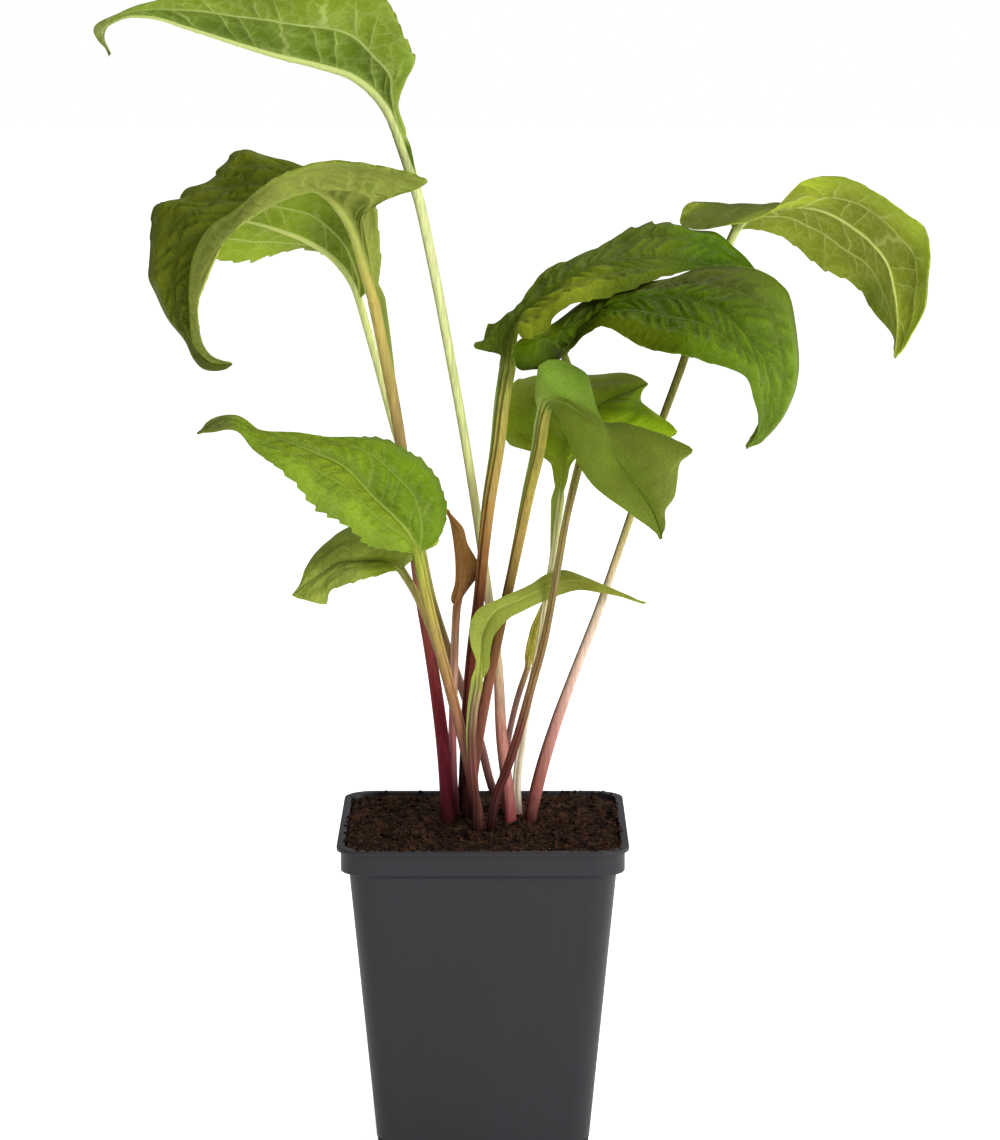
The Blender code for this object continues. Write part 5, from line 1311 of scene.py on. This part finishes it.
def add_pot():
    """The square pot, pulled up from its foot in one thin wall."""
    deselect_all()
    foot = wall_half_width(0.0)
    bpy.ops.mesh.primitive_cube_add(size=1.0, location=(0.0, 0.0, 0.5 * POT_FOOT_BLOCK * MM),
                                    scale=(2.0 * foot * MM, 2.0 * foot * MM, POT_FOOT_BLOCK * MM))
    piece = bpy.context.object
    piece.name = "nursery_pot"
    bpy.ops.object.transform_apply(location=True, rotation=True, scale=True)
    bpy.ops.object.mode_set(mode="EDIT")
    select_where(piece, "EDGE", is_upright)
    corner = POT_CORNER_RADIUS * foot / (0.5 * POT_TOP_WIDTH)
    bpy.ops.mesh.bevel(offset=corner * MM, segments=POT_CORNER_STEPS, affect="EDGES")
    select_where(piece, "FACE", lambda face: face.normal.z > UPWARD)
    band_half = 0.5 * RIM_BAND_WIDTH
    lip_half = 0.5 * POT_TOP_WIDTH
    band_low = POT_HEIGHT - RIM_BAND_HEIGHT
    lip_low = POT_HEIGHT - RIM_LIP_HEIGHT
    shoulder_low = band_low - RIM_SHOULDER
    profile = (
        (wall_half_width(shoulder_low), shoulder_low),
        (band_half, band_low),
        (band_half, lip_low),
        (lip_half, lip_low),
        (lip_half, POT_HEIGHT),
        (band_half - POT_WALL, POT_HEIGHT),
        (band_half - POT_WALL - SOIL_GAP, band_low + RIM_INNER_LEDGE),
        (wall_half_width(band_low) - POT_WALL, band_low - RIM_SHOULDER),
        (wall_half_width(POT_FLOOR) - POT_WALL, POT_FLOOR),
    )
    grow_profile(profile, foot, POT_FOOT_BLOCK)
    bpy.ops.object.mode_set(mode="OBJECT")
    notch = foot - POT_WALL
    for side_x in (-1, 1):
        for side_y in (-1, 1):
            cut_round(piece, side_x * notch, side_y * notch, -CUTTER_OVERSHOOT, CORNER_DRAIN_HEIGHT,
                      CORNER_DRAIN_RADIUS)
    for step_x, step_y in ((1, 0), (-1, 0), (0, 1), (0, -1)):
        cut_round(piece, step_x * FLOOR_DRAIN_OFFSET, step_y * FLOOR_DRAIN_OFFSET, -CUTTER_OVERSHOOT,
                  POT_FLOOR + CUTTER_OVERSHOOT, FLOOR_DRAIN_RADIUS)
    rounding = piece.modifiers.new("rounding", "BEVEL")
    rounding.width = POT_EDGE_ROUNDING * MM
    rounding.segments = ROUNDING_STEPS
    rounding.limit_method = "ANGLE"
    rounding.angle_limit = math.radians(ROUNDING_ANGLE)
    bpy.ops.object.modifier_apply(modifier=rounding.name)
    close_mesh(piece)
    bpy.ops.object.shade_smooth_by_angle(angle=math.radians(POT_SMOOTH_ANGLE))
    return piece


def soil_height(x, y, share):
    """Height of the soil's top: level at the pot wall, a low mound of clods at the crown."""
    rate_x, shift_x, rate_y, shift_y = BROAD_WAVE
    lumps = math.sin(rate_x * x + shift_x) * math.cos(rate_y * y + shift_y)
    height, rate_x, rate_y = CROSS_WAVE
    lumps += height * math.sin(rate_x * x + rate_y * y)
    height, rate_x, rate_y = FINE_WAVE
    lumps += height * math.cos(rate_x * x + rate_y * y)
    level = SOIL_EDGE_LEVEL + SOIL_CROWN_RISE * (1.0 - share**2)
    level += SOIL_LUMP_HEIGHT * lumps * (1.0 - SOIL_EDGE_CALM * share**4)
    clod = noise.noise(Vector((x, y, CLOD_SLICE)) / SOIL_CLOD_SIZE)
    crumb = noise.noise(Vector((x, y, CRUMB_SLICE)) / SOIL_GRAIN_SIZE)
    pore = noise.noise(Vector((x, y, PORE_SLICE)) / (PORE_SIZE_SHARE * SOIL_GRAIN_SIZE))
    rough = SOIL_CLOD_HEIGHT * clod + SOIL_GRAIN_HEIGHT * crumb
    rough += PORE_HEIGHT_SHARE * SOIL_GRAIN_HEIGHT * pore
    return level + rough * (1.0 - ROUGH_EDGE_CALM * share**6)


def soil_half_width():
    """Half the width of the soil at its top."""
    return 0.5 * RIM_BAND_WIDTH - POT_WALL - 2.0 * SOIL_GAP


def add_soil():
    """The soil that fills the pot, rough on top."""
    half = soil_half_width()
    piece, row, column = add_grid("potting_soil", SOIL_GRID_COUNT, SOIL_GRID_COUNT)
    u = 2.0 * column / (SOIL_GRID_COUNT - 1) - 1.0
    v = 2.0 * row / (SOIL_GRID_COUNT - 1) - 1.0
    share = np.maximum(np.abs(u), np.abs(v))
    radius = POT_CORNER_RADIUS - POT_WALL - SOIL_GAP
    corner_x = np.clip(np.abs(u) * half - (half - radius), 0.0, None)
    corner_y = np.clip(np.abs(v) * half - (half - radius), 0.0, None)
    reach = np.maximum(corner_x, corner_y)
    pull = reach / np.maximum(np.hypot(corner_x, corner_y), SMALLEST_SHARE)
    pull = np.where((corner_x > 0.0) & (corner_y > 0.0), pull, 1.0)
    x = np.sign(u) * (np.abs(u) * half - corner_x * (1.0 - pull))
    y = np.sign(v) * (np.abs(v) * half - corner_y * (1.0 - pull))
    z = np.array([soil_height(*place) for place in zip(x, y, share)])
    points = np.stack((x, y, z), axis=1) * MM
    piece.data.vertices.foreach_set("co", points.astype(np.float32).ravel())
    piece.data.update()
    bpy.ops.object.mode_set(mode="EDIT")
    bpy.ops.mesh.select_all(action="SELECT")
    bpy.ops.mesh.region_to_loop()
    move = {"value": (0.0, 0.0, -SOIL_DEPTH * MM)}
    bpy.ops.mesh.extrude_edges_move(TRANSFORM_OT_translate=move)
    bpy.ops.transform.resize(value=(SOIL_FOOT_SHARE, SOIL_FOOT_SHARE, 0.0),
                             center_override=(0.0, 0.0, (SOIL_EDGE_LEVEL - SOIL_DEPTH) * MM))
    bpy.ops.mesh.edge_face_add()
    bpy.ops.object.mode_set(mode="OBJECT")
    close_mesh(piece)
    bpy.ops.object.shade_smooth_by_angle(angle=math.radians(SOIL_SMOOTH_ANGLE))
    return piece


def smooth_piece(name, shape):
    """Make a finished mesh a piece of its own, shaded smooth."""
    mesh = bpy.data.meshes.new(name)
    shape.to_mesh(mesh)
    shape.free()
    piece = bpy.data.objects.new(name, mesh)
    bpy.context.scene.collection.objects.link(piece)
    mesh.shade_smooth()
    return piece


def add_crumbs(count):
    """Loose lumps of peat on the soil and on the pot's rim, all in one piece."""
    generator = np.random.default_rng(CRUMB_SEED)
    half = soil_half_width() - CRUMB_MARGIN
    shape = bmesh.new()
    for number in range(count):
        x, y = generator.uniform(-half, half, 2)
        share = max(abs(x), abs(y)) / half
        size = generator.uniform(*CRUMB_SIZES)
        size *= CRUMB_LARGE if generator.uniform() < CRUMB_LARGE_SHARE else 1.0
        level = soil_height(x, y, share) + CRUMB_LIFT * size
        if number < EDGE_CRUMB_SHARE * count:
            reach = half + generator.uniform(*EDGE_CRUMB_REACH)
            x, y = ((x, math.copysign(reach, y)), (math.copysign(reach, x), y))[number % 2]
            size *= EDGE_CRUMB_SIZE
            level = POT_HEIGHT + EDGE_CRUMB_LIFT * size
        lump = bmesh.ops.create_icosphere(shape, subdivisions=1, radius=size)["verts"]
        stretch = generator.uniform(*CRUMB_STRETCH, 3)
        turn = generator.uniform(0.0, math.tau)
        for vert in lump:
            dent = noise.noise(vert.co * 2.0 + Vector((x, y, 0.0)))
            place = vert.co * (1.0 + CRUMB_DENTS * dent)
            px, py, pz = (place[k] * stretch[k] for k in range(3))
            vert.co = Vector((x + px * math.cos(turn) - py * math.sin(turn),
                              y + px * math.sin(turn) + py * math.cos(turn),
                              level + CRUMB_FLATNESS * pz)) * MM
    return smooth_piece("soil_crumbs", shape)


def add_fibres(count):
    """Short dry fibres lying on the soil, all in one piece."""
    generator = np.random.default_rng(FIBRE_SEED)
    half = soil_half_width() - FIBRE_MARGIN
    shape = bmesh.new()
    for _ in range(count):
        x, y = generator.uniform(-half, half, 2)
        turn = generator.uniform(0.0, math.tau)
        length = generator.uniform(*FIBRE_LENGTHS)
        thick = generator.uniform(*FIBRE_THICKNESSES)
        bow = generator.uniform(*FIBRE_BOWS)
        hop = generator.uniform(*FIBRE_HOPS)
        rings = []
        for step in np.linspace(0.0, 1.0, FIBRE_RINGS):
            angle = turn + bow * step
            px = x + length * step * math.cos(angle)
            py = y + length * step * math.sin(angle)
            px, py = np.clip((px, py), -half, half)
            level = soil_height(px, py, max(abs(px), abs(py)) / half)
            centre = Vector((px, py, level + hop * math.sin(math.pi * step) + FIBRE_LIFT))
            side = Vector((-math.sin(angle), math.cos(angle), 0.0)) * thick * (1.0 - FIBRE_TAPER * step)
            up = Vector((0.0, 0.0, thick))
            rings.append([shape.verts.new((centre + offset) * MM) for offset in (side, up, -side, -up)])
        for lower, higher in zip(rings[:-1], rings[1:]):
            for k in range(4):
                shape.faces.new((lower[k], lower[(k + 1) % 4], higher[(k + 1) % 4], higher[k]))
        shape.faces.new(rings[0][::-1])
        shape.faces.new(rings[-1])
    bmesh.ops.recalc_face_normals(shape, faces=shape.faces)
    return smooth_piece("soil_fibres", shape)


class PotSettings(bpy.types.PropertyGroup):
    """What a user may change on the pot."""

    colour: bpy.props.FloatVectorProperty(
        name="Pot colour", description="Colour of the plastic", subtype="COLOR", size=3, min=0.0, max=1.0,
        default=(0.0172, 0.0164, 0.0214))
    roughness: bpy.props.FloatProperty(
        name="Roughness", description="How dull the plastic is", default=0.42, min=0.05, max=1.0)


class SoilSettings(bpy.types.PropertyGroup):
    """What a user may change on the soil."""

    colour: bpy.props.FloatVectorProperty(
        name="Soil colour", description="Colour of the peat", subtype="COLOR", size=3, min=0.0, max=1.0,
        default=(0.078, 0.033, 0.015))
    crumbs: bpy.props.IntProperty(
        name="Crumbs", description="Number of loose lumps", default=900, min=0, max=1500)
    fibres: bpy.props.IntProperty(
        name="Fibres", description="Number of dry fibres", default=260, min=0, max=1500)


class LeafSettings(bpy.types.PropertyGroup):
    """What a user may change on the leaves."""

    quilting: bpy.props.FloatProperty(
        name="Quilting", description="How far the tissue swells between the veins, as a share of the usual",
        default=1.0, min=0.0, max=2.0)
    tint: bpy.props.FloatVectorProperty(
        name="Top tint", description="Multiplies the colour of the leaves' top side", subtype="COLOR",
        size=3, min=0.0, max=2.0, default=(1.0, 1.0, 1.0))


class StageSettings(bpy.types.PropertyGroup):
    """What a user may change on the stage."""

    floor_colour: bpy.props.FloatVectorProperty(
        name="Floor colour", description="Colour of the floor", subtype="COLOR", size=3, min=0.0, max=1.0,
        default=(0.88, 0.88, 0.88))
    key_power: bpy.props.FloatProperty(
        name="Key light", description="Power of the main light in watts", default=11.6, min=0.0, max=500.0)
    world_strength: bpy.props.FloatProperty(
        name="Surroundings", description="Brightness of the surroundings", default=0.3, min=0.0, max=5.0)


class CONEFLOWER_OT_add_pot(bpy.types.Operator):
    """Add the square nursery pot"""

    bl_idname = "coneflower.add_pot"
    bl_label = "Add pot"

    def execute(self, context):
        settings = context.scene.coneflower_pot
        piece = add_pot()
        piece.data.materials.append(pot_material(settings.colour, settings.roughness))
        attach(piece, "root")
        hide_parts("pot")
        return {"FINISHED"}


class CONEFLOWER_OT_add_soil(bpy.types.Operator):
    """Add the soil with its loose crumbs and fibres"""

    bl_idname = "coneflower.add_soil"
    bl_label = "Add soil"

    def execute(self, context):
        settings = context.scene.coneflower_soil
        piece = add_soil()
        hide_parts("soil")
        for part, name, colour, dark, light in (
                (piece, "soil_peat", settings.colour, PEAT_DARK, PEAT_LIGHT),
                (add_crumbs(settings.crumbs), "soil_crumb", settings.colour, PEAT_DARK, CRUMB_LIGHT),
                (add_fibres(settings.fibres), "soil_fibre", linear(FIBRE_BROWN)[:3],
                 FIBRE_DARK, FIBRE_LIGHT)):
            part.data.materials.append(soil_material(name, colour, linear(dark), linear(light)))
            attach(part, "root")
        return {"FINISHED"}


class CONEFLOWER_OT_add_leaves(bpy.types.Operator):
    """Add the thirteen leaves on their stalks"""

    bl_idname = "coneflower.add_leaves"
    bl_label = "Add leaves"

    def execute(self, context):
        settings = context.scene.coneflower_leaf
        for number, (name, leaf) in enumerate(LEAVES.items()):
            look = LOOKS[name]
            piece = add_leaf("plant_" + name, leaf, look, settings.quilting, FIRST_LEAF_SEED + number)
            piece.data.materials.append(leaf_material("leaf_" + name, look, settings.tint))
            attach(piece, "root")
            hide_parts("leaf_" + name, "stalk_" + name)
        return {"FINISHED"}


def add_area_light(name, place, target, size, power, colour):
    """A soft square light that faces a point."""
    bpy.ops.object.light_add(type="AREA", location=place)
    light = bpy.context.object
    light.name = name
    light.data.shape = "SQUARE"
    light.data.size = size
    light.data.energy = power
    light.data.color = colour
    aim = Vector(target) - Vector(place)
    light.rotation_euler = aim.to_track_quat("-Z", "Y").to_euler()
    return light


def add_surroundings(strength):
    """Even white surroundings where they are seen, and dimmer light from the left than from
    the right."""
    world = bpy.data.worlds.new("surroundings")
    world.use_nodes = True
    chain = NodeChain(world.node_tree)
    seen = chain.add("ShaderNodeLightPath").outputs["Is Camera Ray"]
    aim = chain.add("ShaderNodeTexCoord").outputs["Generated"]
    aim = chain.add("ShaderNodeSeparateXYZ", Vector=aim).outputs["X"]
    side = chain.ramp(aim, -SKY_TURN, SKY_TURN, SKY_LEFT * strength, SKY_RIGHT * strength)
    sky = world.node_tree.nodes["Background"]
    chain.put(sky, "Color", (1.0, 1.0, 1.0, 1.0))
    chain.put(sky, "Strength", chain.ramp(seen, 0.0, 1.0, side, 1.0))
    return world


def add_camera():
    """The camera, at the height and the tilt that show the pot's rim as an open square."""
    bpy.ops.object.camera_add(location=CAMERA_PLACE, rotation=(math.radians(CAMERA_TILT), 0.0, 0.0))
    camera = bpy.context.object
    camera.name = "camera"
    camera.data.sensor_fit = "VERTICAL"
    camera.data.sensor_height = CAMERA_SENSOR
    camera.data.lens = CAMERA_LENS
    camera.data.clip_start, camera.data.clip_end = CAMERA_REACH
    return camera


class CONEFLOWER_OT_add_stage(bpy.types.Operator):
    """Add the floor, the lights and the camera"""

    bl_idname = "coneflower.add_stage"
    bl_label = "Add stage"

    def execute(self, context):
        settings = context.scene.coneflower_stage
        scene = context.scene
        deselect_all()
        bpy.ops.mesh.primitive_plane_add(size=FLOOR_SIZE, location=(0.0, 0.0, 0.0))
        floor = context.object
        floor.name = "floor"
        floor.data.materials.append(floor_material(settings.floor_colour))
        for name, place, target, size, share in LIGHTS:
            add_area_light(name, place, target, size, share * settings.key_power, WARM_WHITE)
        scene.world = add_surroundings(settings.world_strength)
        scene.camera = add_camera()
        scene.view_settings.view_transform = "Standard"
        scene.view_settings.look = "None"
        return {"FINISHED"}


class CONEFLOWER_PT_panel(bpy.types.Panel):
    """The coneflower's settings and pieces"""

    bl_idname = "CONEFLOWER_PT_panel"
    bl_label = "Coneflower"
    bl_space_type = "VIEW_3D"
    bl_region_type = "UI"
    bl_category = "Coneflower"

    def draw(self, context):
        scene = context.scene
        for settings, operator in (
                (scene.coneflower_pot, "coneflower.add_pot"),
                (scene.coneflower_soil, "coneflower.add_soil"),
                (scene.coneflower_leaf, "coneflower.add_leaves"),
                (scene.coneflower_stage, "coneflower.add_stage")):
            box = self.layout.box()
            for key in settings.__annotations__:
                box.prop(settings, key)
            box.operator(operator)


CLASSES = (
    PotSettings, SoilSettings, LeafSettings, StageSettings, CONEFLOWER_OT_add_pot, CONEFLOWER_OT_add_soil,
    CONEFLOWER_OT_add_leaves, CONEFLOWER_OT_add_stage, CONEFLOWER_PT_panel,
)


def register():
    """Register the classes and their settings."""
    for entry in CLASSES:
        bpy.utils.register_class(entry)
    bpy.types.Scene.coneflower_pot = bpy.props.PointerProperty(type=PotSettings)
    bpy.types.Scene.coneflower_soil = bpy.props.PointerProperty(type=SoilSettings)
    bpy.types.Scene.coneflower_leaf = bpy.props.PointerProperty(type=LeafSettings)
    bpy.types.Scene.coneflower_stage = bpy.props.PointerProperty(type=StageSettings)


def unregister():
    """Take the classes and their settings away again."""
    for name in ("coneflower_pot", "coneflower_soil", "coneflower_leaf", "coneflower_stage"):
        delattr(bpy.types.Scene, name)
    for entry in reversed(CLASSES):
        bpy.utils.unregister_class(entry)


def main():
    """Build the whole object on its stage."""
    deselect_all()
    register()
    bpy.ops.coneflower.add_pot()
    bpy.ops.coneflower.add_soil()
    bpy.ops.coneflower.add_leaves()
    bpy.ops.coneflower.add_stage()


if __name__ == "__main__":
    main()
